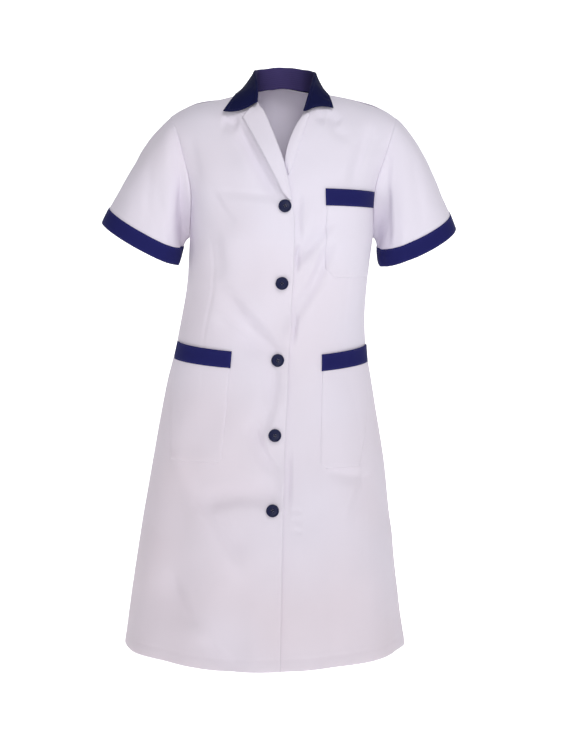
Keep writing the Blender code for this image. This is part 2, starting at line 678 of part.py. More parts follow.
def make_button(name, height, material):
    """A turned button with a raised rim and a dished middle, lying on the over front."""
    half = BUTTON_DEPTH / 2
    outline = (
        (0.0, -half),
        (BUTTON_RADIUS * 0.86, -half),
        (BUTTON_RADIUS, -half * 0.2),
        (BUTTON_RADIUS * 0.97, half * 0.8),
        (BUTTON_RADIUS - BUTTON_RIM / 2, half),
        (BUTTON_RADIUS - BUTTON_RIM, half - BUTTON_DISH / 2),
        (0.0, half - BUTTON_DISH),
    )
    bm = bmesh.new()
    verts = [bm.verts.new((radius, 0, level)) for radius, level in outline]
    edges = [bm.edges.new(pair) for pair in zip(verts, verts[1:])]
    bmesh.ops.spin(bm, geom=verts + edges, cent=(0, 0, 0), axis=(0, 0, 1), angle=2 * math.pi, steps=20,
                   use_merge=True, use_duplicate=False)
    bmesh.ops.remove_doubles(bm, verts=bm.verts, dist=1e-6)
    bmesh.ops.recalc_face_normals(bm, faces=bm.faces)
    mesh = bpy.data.meshes.new(name)
    bm.to_mesh(mesh)
    bm.free()
    mesh.shade_smooth()
    mesh.set_sharp_from_angle(angle=math.radians(40))
    obj = bpy.data.objects.new(name, mesh)
    bpy.context.scene.collection.objects.link(obj)
    obj.data.materials.append(material)
    x = SECTIONS.at("closure", min(height, ARMPIT_Z)) + (TOP_BUTTON_SHIFT if height > ARMPIT_Z else 0)
    girth, rise = place_on_front(x, height)
    seat = on_front(RIGHT, x, height, WALL / 2 + REST + half)
    normal = Vector(shell_normals(FRONT, girth, rise))
    obj.location = Vector(seat)
    obj.rotation_mode = "QUATERNION"
    obj.rotation_quaternion = normal.to_track_quat("Z", "Y")
    return obj


def build_fronts_and_back():
    """The three panels that make the body."""
    white = make_material("white_front_right", WHITE, 0.85)
    make_sheet("front_right", lambda u, v: front_surface(RIGHT, u, v), FRONT_COLUMNS,
               SKIRT_ROWS + YOKE_ROWS, WALL, white)
    white = make_material("white_front_left", WHITE, 0.85)
    make_sheet("front_left", lambda u, v: front_surface(LEFT, u, v), FRONT_COLUMNS,
               SKIRT_ROWS + YOKE_ROWS, WALL, white, mirrored=True)
    white = make_material("white_back", WHITE, 0.85)
    make_sheet("back", back_surface, BACK_COLUMNS, SKIRT_ROWS + YOKE_ROWS, WALL, white)


def build_sleeve(name, spec):
    """A sleeve, and the cuff band over its end."""
    white = make_material("white_sleeve_" + name, WHITE, 0.85)
    navy = make_material("navy_cuff_" + name, NAVY, 0.75)
    around = 2 * YOKE_ROWS + 4

    def sleeve(turn, v):
        u = turn % 1.0
        length = sleeve_length(spec, u)
        end = CUFF_DEPTH - CUFF_TUCK
        return sleeve_surface(spec, u, length + (end - length) * v)

    def cuff(turn, v):
        u = turn % 1.0
        out = (WALL + BAND_WALL) / 2 + REST
        return sleeve_surface(spec, u, CUFF_DEPTH * (1 - v), out)

    make_sheet("sleeve_" + name, sleeve, around, SLEEVE_ROWS, WALL, white)
    make_sheet("cuff_" + name, cuff, around, 2, BAND_WALL, navy)


def build_collar():
    """The collar, all of one piece."""
    navy = make_material("navy_collar", COLLAR_NAVY, 0.75)
    stations = collar_stations()
    make_sheet("collar", lambda u, v: collar_surface(u, v, stations), COLLAR_COLUMNS, COLLAR_STEPS,
               COLLAR_WALL, navy)


def build_lapels():
    """The turned-out upper corners of the two fronts."""
    for name, side, table, rows in (("right", RIGHT, LAPEL_RIGHT, 12), ("left", LEFT, LAPEL_LEFT, 8)):
        white = make_material("white_lapel_" + name, WHITE, 0.85)
        make_sheet("lapel_" + name, lambda u, v, s=side, t=table: lapel_surface(s, t, u, v), LAPEL_COLUMNS,
                   rows, WALL, white)


def build_pockets():
    """Each pocket and the band along its top."""
    for name, spec in POCKETS.items():
        white = make_material("white_pocket_" + name, WHITE, 0.85)
        navy = make_material("navy_band_" + name, NAVY, 0.75)
        mirrored = spec["side"] == LEFT
        make_sheet("pocket_" + name, lambda u, v, s=spec: pocket_surface(s, u, v), POCKET_COLUMNS,
                   POCKET_ROWS, POCKET_WALL, white, mirrored)
        make_sheet("band_" + name, lambda u, v, s=spec: band_surface(s, u, v), POCKET_COLUMNS, 2,
                   BAND_WALL, navy, mirrored)


def build_buttons():
    """The buttons down the over front."""
    for number, height in enumerate(BUTTON_HEIGHTS, 1):
        material = make_material(f"button_navy_{number}", BUTTON_NAVY, 0.35)
        make_button(f"button_{number}", height, material)


clear_scene()
build_fronts_and_back()
for sleeve_name, sleeve_spec in SLEEVES.items():
    build_sleeve(sleeve_name, sleeve_spec)
build_collar()
build_lapels()
build_pockets()
build_buttons()
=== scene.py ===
"""Looks of the work tunic: fine cloth with its folds, sewing and buttons, in a pale studio.

Metres, +Z up. The front looks towards -Y, so the wearer's right side is at -X. Every sheet of cloth is laid
on one body form from named sizes, sunk where it folds, and thickened.
"""

import logging
import math
from collections.abc import Callable, Sequence
from dataclasses import dataclass, field
from enum import Enum, IntEnum
from functools import partial

import bmesh
import bpy
import numpy as np
from mathutils import Matrix, Vector


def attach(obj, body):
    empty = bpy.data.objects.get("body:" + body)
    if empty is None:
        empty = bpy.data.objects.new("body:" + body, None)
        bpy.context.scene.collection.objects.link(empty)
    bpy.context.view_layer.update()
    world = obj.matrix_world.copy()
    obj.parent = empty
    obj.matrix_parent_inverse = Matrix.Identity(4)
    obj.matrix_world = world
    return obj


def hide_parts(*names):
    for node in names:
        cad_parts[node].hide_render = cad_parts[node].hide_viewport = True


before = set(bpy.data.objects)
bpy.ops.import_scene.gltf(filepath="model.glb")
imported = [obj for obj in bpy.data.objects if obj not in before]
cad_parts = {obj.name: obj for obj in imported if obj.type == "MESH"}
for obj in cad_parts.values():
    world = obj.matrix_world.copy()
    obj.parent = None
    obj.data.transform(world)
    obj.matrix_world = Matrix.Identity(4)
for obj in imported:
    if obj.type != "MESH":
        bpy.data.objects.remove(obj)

LOG = logging.getLogger("work_tunic")
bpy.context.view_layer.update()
BODY = "root"

Triple = tuple[float, float, float]
Colour = Triple
Field = np.ndarray
Surface = Callable[[Field, Field], Field]
Inputs = dict[str | int, object]


class Side(IntEnum):
    """The wearer's two sides, by the sign of x."""

    RIGHT = -1
    LEFT = 1


class Face(IntEnum):
    """The two halves of the body, by the sign of y."""

    FRONT = -1
    BACK = 1


class Hold(Enum):
    """How a sheet of cloth is held."""

    HUNG = "hung"
    LAID = "laid"
    FOLDED = "folded"


class Table:
    """Rows of sizes under named columns, read smoothly along the first column."""

    def __init__(self, names: str, *rows: tuple[float, ...]) -> None:
        """Keeps the rows as columns.

        Args:
            names: the columns' names, parted by spaces.
            rows: one tuple of numbers for each row.
        """
        self.names = names.split()
        self.columns = dict(zip(self.names, np.array(rows, float).T))
        self.along = self.columns[self.names[0]]

    def at(self, name: str, where: Field | float) -> Field:
        """Reads a column between its rows.

        Args:
            name: the column.
            where: places along the first column.

        Returns:
            The column's values there.
        """
        values = self.columns[name]
        slopes = np.gradient(values, self.along)
        where = np.clip(where, self.along[0], self.along[-1])
        i = np.clip(np.searchsorted(self.along, where) - 1, 0, len(self.along) - 2)
        step = self.along[i + 1] - self.along[i]
        t = (where - self.along[i]) / step
        start = (1 + 2 * t) * (1 - t) ** 2 * values[i] + t * (1 - t) ** 2 * step * slopes[i]
        end = t * t * (3 - 2 * t) * values[i + 1] - t * t * (1 - t) * step * slopes[i + 1]
        return start + end

    def rows(self) -> list[dict[str, float]]:
        """Each row as a dictionary of its columns."""
        return [dict(zip(self.names, row)) for row in zip(*(self.columns[name] for name in self.names))]


# Body form: heights, and level sections from hem to armpit
ARMPIT_Z = -0.250
HEM_Z = -0.956
BREAK_Z = -0.215
FLUTE_TOP = -0.500
NECK_HALF = 0.055
NECK_BACK = 0.060
SHOULDER_HALF = 0.194
NECK_GIRTH = math.asin(NECK_HALF / SHOULDER_HALF) * 2 / math.pi
ARCH = {Face.FRONT: 2.1, Face.BACK: 2.8}
SECTIONS = Table(
    "height closure right left front back square",
    (-0.956, -0.0365, 0.2405, 0.2465, 0.176, 0.172, 2.05),
    (-0.860, -0.0340, 0.2300, 0.2315, 0.162, 0.160, 2.10),
    (-0.740, -0.0305, 0.2150, 0.2145, 0.146, 0.145, 2.15),
    (-0.620, -0.0265, 0.1975, 0.1970, 0.131, 0.126, 2.20),
    (-0.520, -0.0215, 0.1835, 0.1755, 0.119, 0.107, 2.25),
    (-0.420, -0.0165, 0.1650, 0.1550, 0.112, 0.093, 2.25),
    (-0.330, -0.0125, 0.1535, 0.1540, 0.121, 0.096, 2.30),
    (-0.250, -0.0095, 0.1515, 0.1615, 0.129, 0.106, 2.40),
)
ARMHOLES = Table(
    "share right left front back turn",
    (0.00, 0.1515, 0.1615, 0.000, 0.000, 2.40),
    (0.26, 0.1530, 0.1565, -0.055, 0.046, 1.60),
    (0.52, 0.1700, 0.1750, -0.052, 0.046, 1.35),
    (0.76, 0.1835, 0.1865, -0.036, 0.034, 1.25),
    (1.00, SHOULDER_HALF, SHOULDER_HALF, 0.000, 0.000, 1.20),
)
SHOULDER = Table(
    "out height",
    (0.000, 0.0040),
    (NECK_HALF, -0.0050),
    (0.085, -0.0108),
    (0.130, -0.0200),
    (0.160, -0.0290),
    (0.180, -0.0385),
    (SHOULDER_HALF, -0.0485),
)
FRONT_EDGES = Table(
    "height right left",
    (-0.215, 0.0085, -0.0245),
    (-0.184, 0.0028, -0.0220),
    (-0.150, -0.0045, -0.0150),
    (-0.120, -0.0115, -0.0065),
    (-0.092, -0.0213, 0.0010),
    (-0.057, -0.0338, 0.0180),
    (-0.037, -0.0416, 0.0300),
    (-0.024, -0.0485, 0.0390),
    (-0.014, -0.0525, 0.0490),
    (-0.005, -0.0550, 0.0550),
)
HEM_DROP = Table(
    "girth front back",
    (-1.00, -0.0060, -0.0060),
    (-0.60, -0.0010, -0.0020),
    (-0.20, 0.0085, 0.0010),
    (0.30, 0.0085, 0.0010),
    (0.70, 0.0035, 0.0005),
    (1.00, 0.0000, 0.0000),
)

# Folds: ends of each trough, half width, depth (a ridge is negative), sideways bow, and how one-sided it is
FOLD_COLUMNS = "x0 z0 x1 z1 wide deep bow lean"
FRONT_FOLDS = Table(
    FOLD_COLUMNS,
    (-0.095, -0.360, -0.015, -0.446, 0.018, 0.0098, 0.002, 0.3),
    (-0.114, -0.389, -0.056, -0.432, 0.012, 0.0056, 0.002, 0.3),
    (-0.092, -0.334, -0.040, -0.386, 0.010, -0.0022, 0.000, 0.0),
    (-0.026, -0.470, -0.054, -0.580, 0.015, 0.0076, -0.008, 0.4),
    (-0.056, -0.566, -0.028, -0.628, 0.010, 0.0062, 0.004, 0.4),
    (-0.040, -0.520, -0.018, -0.560, 0.009, -0.0024, 0.002, 0.0),
    (-0.036, -0.674, -0.136, -0.686, 0.021, 0.0092, 0.006, 0.3),
    (-0.060, -0.664, -0.140, -0.662, 0.014, -0.0018, 0.004, 0.0),
    (-0.189, -0.612, -0.154, -0.702, 0.018, -0.0066, 0.004, 0.2),
    (-0.154, -0.702, -0.093, -0.796, 0.018, -0.0066, 0.004, 0.2),
    (-0.130, -0.700, -0.085, -0.760, 0.012, 0.0034, 0.000, 0.0),
    (-0.202, -0.824, -0.165, -0.885, 0.018, 0.0060, 0.003, 0.3),
    (-0.138, -0.922, -0.098, -0.962, 0.013, 0.0052, 0.000, 0.2),
    (-0.070, -0.880, -0.064, -0.960, 0.018, -0.0020, 0.000, 0.0),
    (-0.100, -0.171, -0.024, -0.178, 0.007, 0.0016, 0.002, 0.3),
    (-0.090, -0.183, -0.030, -0.190, 0.009, -0.0012, 0.002, 0.0),
    (-0.124, -0.176, -0.097, -0.218, 0.009, 0.0026, 0.002, 0.2),
    (-0.124, -0.250, -0.116, -0.302, 0.016, 0.0046, 0.000, 0.2),
    (-0.118, -0.060, -0.092, -0.118, 0.018, 0.0026, 0.002, 0.0),
    (-0.080, -0.066, -0.026, -0.168, 0.011, 0.0115, 0.000, 0.3),
    (-0.104, -0.052, -0.086, -0.058, 0.012, 0.0060, 0.000, 0.2),
    (-0.160, -0.090, -0.150, -0.150, 0.011, 0.0022, 0.000, 0.2),
    (0.136, -0.078, 0.108, -0.154, 0.012, 0.0056, 0.003, 0.3),
    (0.118, -0.070, 0.094, -0.140, 0.012, -0.0016, 0.003, 0.0),
    (0.184, -0.066, 0.151, -0.102, 0.010, 0.0022, 0.000, 0.0),
    (0.050, -0.046, 0.062, -0.050, 0.010, 0.0036, 0.000, 0.0),
    (0.072, -0.044, 0.086, -0.056, 0.010, 0.0036, 0.000, 0.0),
    (0.070, -0.052, 0.094, -0.082, 0.010, 0.0022, 0.003, 0.0),
    (0.018, -0.188, 0.018, -0.246, 0.007, 0.0048, 0.002, 0.3),
    (0.036, -0.192, 0.032, -0.250, 0.007, -0.0012, 0.002, 0.0),
    (0.062, -0.228, 0.012, -0.284, 0.013, 0.0100, -0.003, 0.3),
    (0.066, -0.262, 0.018, -0.364, 0.012, 0.0100, -0.005, 0.3),
    (0.050, -0.268, 0.024, -0.330, 0.009, -0.0020, -0.003, 0.0),
    (0.0125, -0.380, 0.0080, -0.418, 0.0035, 0.0045, 0.000, 0.0),
    (0.0150, -0.268, 0.0135, -0.298, 0.0035, 0.0045, 0.000, 0.0),
    (0.0010, -0.615, -0.0015, -0.690, 0.0035, 0.0040, 0.000, 0.0),
    (0.006, -0.700, 0.019, -0.703, 0.004, 0.0014, 0.000, 0.0),
    (0.006, -0.716, 0.020, -0.720, 0.004, 0.0014, 0.000, 0.0),
    (0.007, -0.734, 0.018, -0.738, 0.004, 0.0012, 0.000, 0.0),
    (0.074, -0.640, 0.128, -0.652, 0.010, 0.0036, 0.002, 0.2),
    (0.120, -0.648, 0.094, -0.704, 0.009, -0.0026, 0.002, 0.2),
    (0.136, -0.640, 0.112, -0.708, 0.010, 0.0030, 0.002, 0.2),
    (0.120, -0.800, 0.112, -0.930, 0.020, 0.0020, 0.000, 0.0),
)
SLEEVE_FOLDS_RIGHT = Table(
    FOLD_COLUMNS,
    (-0.161, -0.134, -0.161, -0.246, 0.014, 0.0165, 0.000, 0.4),
    (-0.196, -0.086, -0.206, -0.269, 0.012, -0.0040, 0.000, 0.0),
    (-0.228, -0.116, -0.234, -0.220, 0.010, 0.0022, 0.000, 0.0),
    (-0.176, -0.066, -0.166, -0.119, 0.008, 0.0020, 0.000, 0.0),
    (-0.260, -0.153, -0.266, -0.210, 0.010, -0.0014, 0.000, 0.0),
)
SLEEVE_FOLDS_LEFT = Table(
    FOLD_COLUMNS,
    (0.169, -0.178, 0.172, -0.258, 0.010, 0.0070, 0.000, 0.4),
    (0.197, -0.150, 0.198, -0.262, 0.011, -0.0036, 0.000, 0.0),
    (0.174, -0.075, 0.168, -0.169, 0.008, 0.0036, 0.000, 0.3),
    (0.215, -0.119, 0.229, -0.227, 0.010, 0.0020, 0.000, 0.0),
    (0.182, -0.065, 0.152, -0.099, 0.010, 0.0020, 0.000, 0.0),
)
BACK_FOLDS = Table(
    FOLD_COLUMNS,
    (-0.110, -0.360, -0.020, -0.425, 0.015, 0.0055, 0.004, 0.3),
    (0.105, -0.350, 0.015, -0.420, 0.014, 0.0050, -0.004, 0.3),
    (-0.090, -0.440, -0.020, -0.470, 0.012, 0.0038, 0.003, 0.2),
    (0.095, -0.450, 0.030, -0.485, 0.012, 0.0038, -0.003, 0.2),
    (-0.096, -0.400, -0.030, -0.446, 0.009, -0.0018, 0.003, 0.0),
    (0.100, -0.400, 0.030, -0.450, 0.009, -0.0018, -0.003, 0.0),
    (-0.130, -0.130, -0.085, -0.235, 0.014, 0.0040, 0.003, 0.2),
    (0.130, -0.130, 0.090, -0.230, 0.014, 0.0040, -0.003, 0.2),
    (-0.075, -0.600, -0.105, -0.720, 0.016, 0.0030, 0.003, 0.2),
    (0.060, -0.580, 0.080, -0.700, 0.016, -0.0026, 0.003, 0.0),
    (-0.020, -0.250, 0.030, -0.272, 0.012, 0.0020, 0.002, 0.0),
)
FLUTE_COLUMNS = "girth wide deep"
FLUTES = {
    Face.FRONT: Table(
        FLUTE_COLUMNS,
        (-0.72, 0.10, -0.0040),
        (-0.50, 0.09, 0.0044),
        (-0.26, 0.09, -0.0035),
        (0.30, 0.08, 0.0040),
        (0.52, 0.10, -0.0045),
        (0.76, 0.09, 0.0050),
    ),
    Face.BACK: Table(
        FLUTE_COLUMNS,
        (-0.74, 0.09, 0.0060),
        (-0.46, 0.11, -0.0060),
        (-0.18, 0.10, 0.0065),
        (0.10, 0.10, -0.0060),
        (0.38, 0.10, 0.0070),
        (0.68, 0.11, -0.0060),
    ),
}

# Shaping seams and pressed lines that run down the panels: x at each height
SEAM_COLUMNS = "height x deep"
SEAM_LINES = {
    Face.FRONT: (
        Table(
            SEAM_COLUMNS,
            (-0.913, -0.1556, 0.0001),
            (-0.627, -0.1523, 0.0002),
            (-0.470, -0.1430, 0.0003),
            (-0.420, -0.1406, 0.0006),
            (-0.319, -0.1248, 0.0009),
            (-0.222, -0.1324, 0.0006),
        ),
        Table(
            SEAM_COLUMNS,
            (-0.913, 0.1290, 0.0002),
            (-0.620, 0.1250, 0.0004),
            (-0.400, 0.0960, 0.0003),
            (-0.296, 0.1010, 0.0005),
            (-0.240, 0.1020, 0.0002),
        ),
    ),
    Face.BACK: (
        Table(SEAM_COLUMNS, (-0.560, -0.1000, 0.0008), (-0.420, -0.0830, 0.0010), (-0.250, -0.0900, 0.0008)),
        Table(SEAM_COLUMNS, (-0.560, 0.0700, 0.0008), (-0.420, 0.0600, 0.0010), (-0.250, 0.0760, 0.0008)),
    ),
}
SEAM_LINE_WIDTH = 0.0030

# Closure, and where the over front lifts off between its buttons
OVERLAP = 0.0183
LAP_FADE_FROM = 0.020
LAP_FADE_TO = 0.055
LAP_SHARE = 0.135
BUTTON_HEIGHTS = (-0.1955, -0.3225, -0.4520, -0.5760, -0.6985)
TOP_BUTTON_SHIFT = 0.002
LIFTS = Table(
    "height tall high",
    (-0.3970, 0.020, 0.0062),
    (-0.6540, 0.030, 0.0056),
    (-0.2820, 0.018, 0.0042),
    (-0.5150, 0.022, 0.0020),
)
LIFT_REACH = 0.010

# Sizes of the cloth and its sewing
WALL = 0.0010
CAD_WALL = 0.0015
LAP_GAP = 0.0009
SEAM = 0.0001
HEM_TURN = 0.018
EDGE_STITCH = 0.006
SEARCH_STEPS = 8
MOST_LATERAL = 0.9995
NORMAL_STEP = 0.004
FACING_STEP = 0.002
MERGE_REACH = 1e-6


def eased(share: Field) -> Field:
    """A soft step from 0 to 1."""
    share = np.clip(share, 0, 1)
    return share * share * (3 - 2 * share)


def bell(distance: Field, wide: Field | float) -> Field:
    """A soft bell, 1 in the middle and fading over its half width."""
    return np.exp(-((distance / wide) ** 2))


def unit(vectors: Field) -> Field:
    """The vectors at length 1."""
    return vectors / np.linalg.norm(vectors, axis=-1, keepdims=True)


def run_of(points: Field) -> Field:
    """The distance run at each of a row of points."""
    return np.concatenate([[0], np.cumsum(np.linalg.norm(np.diff(points, axis=0), axis=1))])


def read_along(values: Field, run: Field, place: Field | float) -> Field:
    """A row of vectors read at places along its run."""
    return np.stack([np.interp(place, run, values[:, k]) for k in range(3)], -1)


def sunk_by(folds: Table, x: Field, z: Field) -> Field:
    """How far listed troughs sink the cloth, seen from the front.

    Args:
        folds: the troughs and ridges.
        x: places across.
        z: heights.

    Returns:
        Depth at each place, in metres.
    """
    total = np.zeros(np.broadcast(x, z).shape)
    for fold in folds.rows():
        run_x, run_z = fold["x1"] - fold["x0"], fold["z1"] - fold["z0"]
        length = math.hypot(run_x, run_z)
        along = ((x - fold["x0"]) * run_x + (z - fold["z0"]) * run_z) / length**2
        across = ((x - fold["x0"]) * run_z - (z - fold["z0"]) * run_x) / length
        across = across - fold["bow"] * 4 * along * (1 - along) * (np.abs(along - 0.5) < 0.5)
        wide = fold["wide"] * (1 + fold["lean"] * np.tanh(across / fold["wide"]))
        middle = np.clip((along - 0.5) * 1.6, -1.6, 1.6)
        total += fold["deep"] * bell(across, wide) * np.exp(-(middle**4))
    return total


@dataclass(frozen=True)
class Groove:
    """A shallow line that sewing pulls into cloth, by its depth and half width."""

    deep: float
    wide: float

    def at(self, distance: Field) -> Field:
        """Its depth at a distance from its middle."""
        return self.deep * bell(distance, self.wide)


@dataclass(frozen=True)
class Crumple:
    """Slow, uneven waves that keep a large stretch of cloth from lying dead flat."""

    seed: int
    height: float = 0.0024
    shortest: float = 0.060
    longest: float = 0.170
    waves: int = 28
    swing: float = 0.9
    bend: float = 1.1
    bend_length: float = 2.4
    long_favour: float = 1.3

    def sunk(self, a: Field, b: Field) -> Field:
        """How far the waves sink the cloth.

        Args:
            a: distance across the cloth.
            b: distance along the cloth.

        Returns:
            Depth at each place, in metres.
        """
        random = np.random.default_rng(self.seed)
        total = np.zeros(np.broadcast(a, b).shape)
        for _ in range(self.waves):
            length = self.shortest * (self.longest / self.shortest) ** random.random()
            angle = random.normal(0.0, self.swing)
            phase, turn = random.uniform(0, 2 * math.pi, 2)
            along = a * math.cos(angle) + b * math.sin(angle)
            across = b * math.cos(angle) - a * math.sin(angle)
            bend = self.bend * np.sin(2 * math.pi * across / (self.bend_length * length) + turn)
            wave = np.sin(2 * math.pi * along / length + phase + bend)
            total += wave * (length / self.longest) ** self.long_favour
        return total * self.height / math.sqrt(self.waves)


@dataclass(frozen=True)
class BodyForm:
    """The filled-out body: its plain shell, and the folded cloth laid on it."""

    crumple: Crumple = Crumple(seed=7)
    back_shift: float = 0.4
    line_fade: float = 8.0
    line_end: float = 0.03
    pucker_share: float = 0.15
    pucker_rate: float = 240
    flute_opening: float = 1.3

    def side_column(self, table: Table, lateral: Field, where: Field) -> Field:
        """The column of the side that the signed place lies on."""
        return np.where(np.asarray(lateral) < 0, table.at("right", where), table.at("left", where))

    def half_width(self, lateral: Field, low_z: Field, share: Field) -> Field:
        """Half width below the armpit, or at a share of the way above it."""
        below = self.side_column(SECTIONS, lateral, low_z)
        return np.where(share > 0, self.side_column(ARMHOLES, lateral, share), below)

    def shell(self, face: Face, girth: Field, rise: Field) -> Field:
        """Points of the plain shell.

        Args:
            face: front or back.
            girth: from -1 at the wearer's right side seam to 1 at the left one.
            rise: metres below the armpit where negative, share of the way to the shoulder where positive.

        Returns:
            Points, in metres.
        """
        girth, rise = np.broadcast_arrays(np.asarray(girth, float), np.asarray(rise, float))
        lateral = np.sin(math.pi / 2 * girth)
        low_z = ARMPIT_Z + np.minimum(rise, 0)
        share = np.clip(rise, 0, 1)
        column = face.name.lower()
        depth = face * SECTIONS.at(column, low_z)
        upper = rise > 0
        x = SECTIONS.at("closure", low_z) * (1 - share) + lateral * self.half_width(lateral, low_z, share)
        climb = np.sin(math.pi / 2 * share)
        seam_z = SHOULDER.at("height", np.abs(lateral) * SHOULDER_HALF)
        sag = np.clip((FLUTE_TOP - low_z) / (FLUTE_TOP - HEM_Z), 0, 1) ** 2
        dropped = low_z - HEM_DROP.at(column, girth) * sag
        z = np.where(upper, ARMPIT_Z + (seam_z - ARMPIT_Z) * climb, dropped)
        arch = np.clip(1 - climb ** ARCH[face], 0, 1) ** (1 / ARCH[face])
        across_neck = np.clip(1 - (lateral * SHOULDER_HALF / NECK_HALF) ** 2, 0, 1)
        top = NECK_BACK * np.sqrt(across_neck) if face == Face.BACK else 0.0 * lateral
        crown = top + (depth - top) * arch
        edge = ARMHOLES.at(column, share)
        square = SECTIONS.at("square", low_z)
        turn = np.where(upper, ARMHOLES.at("turn", share), square)
        fall = np.clip(1 - np.abs(lateral) ** square, 0, 1) ** (1 / turn)
        y = edge + (crown - edge) * fall + face * SEAM / 2 * (1 + share)
        return np.stack([x, y, z], -1)

    def normals(self, face: Face, girth: Field, rise: Field) -> Field:
        """Outward directions of the plain shell.

        Args:
            face: front or back.
            girth: place round the body, as in shell.
            rise: place up the body, as in shell.

        Returns:
            Directions of length 1.
        """
        girth, rise = np.asarray(girth, float), np.asarray(rise, float)
        wide_low = np.clip(girth - NORMAL_STEP, -1, 1)
        wide_high = np.clip(girth + NORMAL_STEP, -1, 1)
        up_low = np.minimum(rise - NORMAL_STEP, 1 - 2 * NORMAL_STEP)
        up_high = np.minimum(rise + NORMAL_STEP, 1)
        across = self.shell(face, wide_high, rise) - self.shell(face, wide_low, rise)
        along = self.shell(face, girth, up_high) - self.shell(face, girth, up_low)
        return unit(np.cross(across, along) * -int(face))

    def seam_lines(self, face: Face, x: Field, z: Field) -> Field:
        """How far the shaping seams sink the cloth, with slight puckers along them.

        Args:
            face: front or back.
            x: places across.
            z: heights.

        Returns:
            Depth at each place, in metres.
        """
        total = np.zeros(np.broadcast(x, z).shape)
        for line in SEAM_LINES[face]:
            ends = (np.clip((z - line.along[0]) / self.line_end, 0, 1)
                    * np.clip((line.along[-1] - z) / self.line_end, 0, 1))
            away = x - line.at("x", z)
            pucker = self.pucker_share * np.sin(z * self.pucker_rate) * bell(away, 5 * SEAM_LINE_WIDTH)
            total += line.at("deep", z) * (bell(away, SEAM_LINE_WIDTH) + pucker) * eased(ends)
        return total

    def flutes(self, face: Face, girth: Field, z: Field) -> Field:
        """How far the flutes sink the cloth, opening towards the hem.

        Args:
            face: front or back.
            girth: place round the body, as in shell.
            z: heights.

        Returns:
            Depth at each place, in metres.
        """
        opening = np.clip((FLUTE_TOP - z) / (FLUTE_TOP - HEM_Z), 0, 1) ** self.flute_opening
        total = np.zeros(np.broadcast(girth, z).shape)
        for flute in FLUTES[face].rows():
            total += flute["deep"] * bell(girth - flute["girth"], flute["wide"]) * opening
        return total

    def cloth(self, face: Face, girth: Field, rise: Field, out: Field | float = 0.0) -> Field:
        """Points of the folded cloth.

        Args:
            face: front or back.
            girth: place round the body, as in shell.
            rise: place up the body, as in shell.
            out: distance from the middle of the panel's wall, outwards.

        Returns:
            Points, in metres.
        """
        points = self.shell(face, girth, rise)
        x, z = points[..., 0], points[..., 2]
        folds = FRONT_FOLDS if face == Face.FRONT else BACK_FOLDS
        sunk = sunk_by(folds, x, z) + self.flutes(face, girth, z) + self.seam_lines(face, x, z)
        sunk = sunk + self.crumple.sunk(x + self.back_shift * int(face), z)
        sunk = sunk * np.clip((1 - np.abs(girth)) * self.line_fade, 0, 1)
        return points + self.normals(face, girth, rise) * (out - sunk)[..., None]

    def place_on_front(self, x: Field, z: Field) -> tuple[Field, Field]:
        """Finds a place on the front by a short search.

        Args:
            x: place across.
            z: height.

        Returns:
            Its girth and rise, as in shell.
        """
        x, z = np.broadcast_arrays(np.asarray(x, float), np.asarray(z, float))
        low_z = np.minimum(z, ARMPIT_Z)
        lateral = x / SECTIONS.at("left", ARMPIT_Z)
        for _ in range(SEARCH_STEPS):
            seam_z = SHOULDER.at("height", np.abs(lateral) * SHOULDER_HALF)
            climb = np.clip((z - ARMPIT_Z) / (seam_z - ARMPIT_Z), 0, 1)
            share = np.arcsin(climb) * 2 / math.pi
            closure = SECTIONS.at("closure", low_z) * (1 - share)
            lateral = (x - closure) / self.half_width(lateral, low_z, share)
            lateral = np.clip(lateral, -MOST_LATERAL, MOST_LATERAL)
        return np.arcsin(lateral) * 2 / math.pi, np.where(z > ARMPIT_Z, share, low_z - ARMPIT_Z)

    def rise_at(self, girth: Field, z: Field) -> Field:
        """The rise at which the plain shell has the given height.

        Args:
            girth: place round the body, as in shell.
            z: height.

        Returns:
            The rise, as in shell.
        """
        seam_z = SHOULDER.at("height", np.abs(np.sin(math.pi / 2 * girth)) * SHOULDER_HALF)
        climb = np.clip((z - ARMPIT_Z) / (seam_z - ARMPIT_Z), 0, 1)
        return np.where(z > ARMPIT_Z, np.arcsin(climb) * 2 / math.pi, z - ARMPIT_Z)

    def lap(self, side: Side, x: Field, z: Field) -> Field:
        """How far the over front stands out, and the under front in, where they lap.

        Args:
            side: the wearer's side.
            x: place across.
            z: height.

        Returns:
            Distance outwards, in metres.
        """
        closure = SECTIONS.at("closure", np.minimum(z, ARMPIT_Z))
        away = (np.abs(x - closure) - LAP_FADE_FROM) / (LAP_FADE_TO - LAP_FADE_FROM)
        return -int(side) * (CAD_WALL + LAP_GAP) / 2 * (1 - eased(away))

    def on_front(self, side: Side, x: Field, z: Field, out: Field | float = 0.0) -> Field:
        """The point on one front at the given x and height, moved out from the middle of its wall."""
        girth, rise = self.place_on_front(x, z)
        return self.cloth(Face.FRONT, girth, rise, out + self.lap(side, x, z))


FORM = BodyForm()


# Scales of the cloth's fine looks
SLUB_FINE = 900.0
SLUB_LONG = 26.0
DRAWN_DOWN = 0.45
MOTTLE_SCALE = 7.0
RUBBING_SCALE = 120.0
INNER_ROW_PITCH = 0.0034
# Painted shade: the cloth's tint moves to its warmer, greyer tint lower down and towards the wearer's right,
# where shade falls, with random patches over it
PAINTED_SHADE_AND_PATCHY_WARMTH = {"down": -0.95, "start": -0.80, "across": -0.90, "scale": 5.0, "patchy": 1.5}


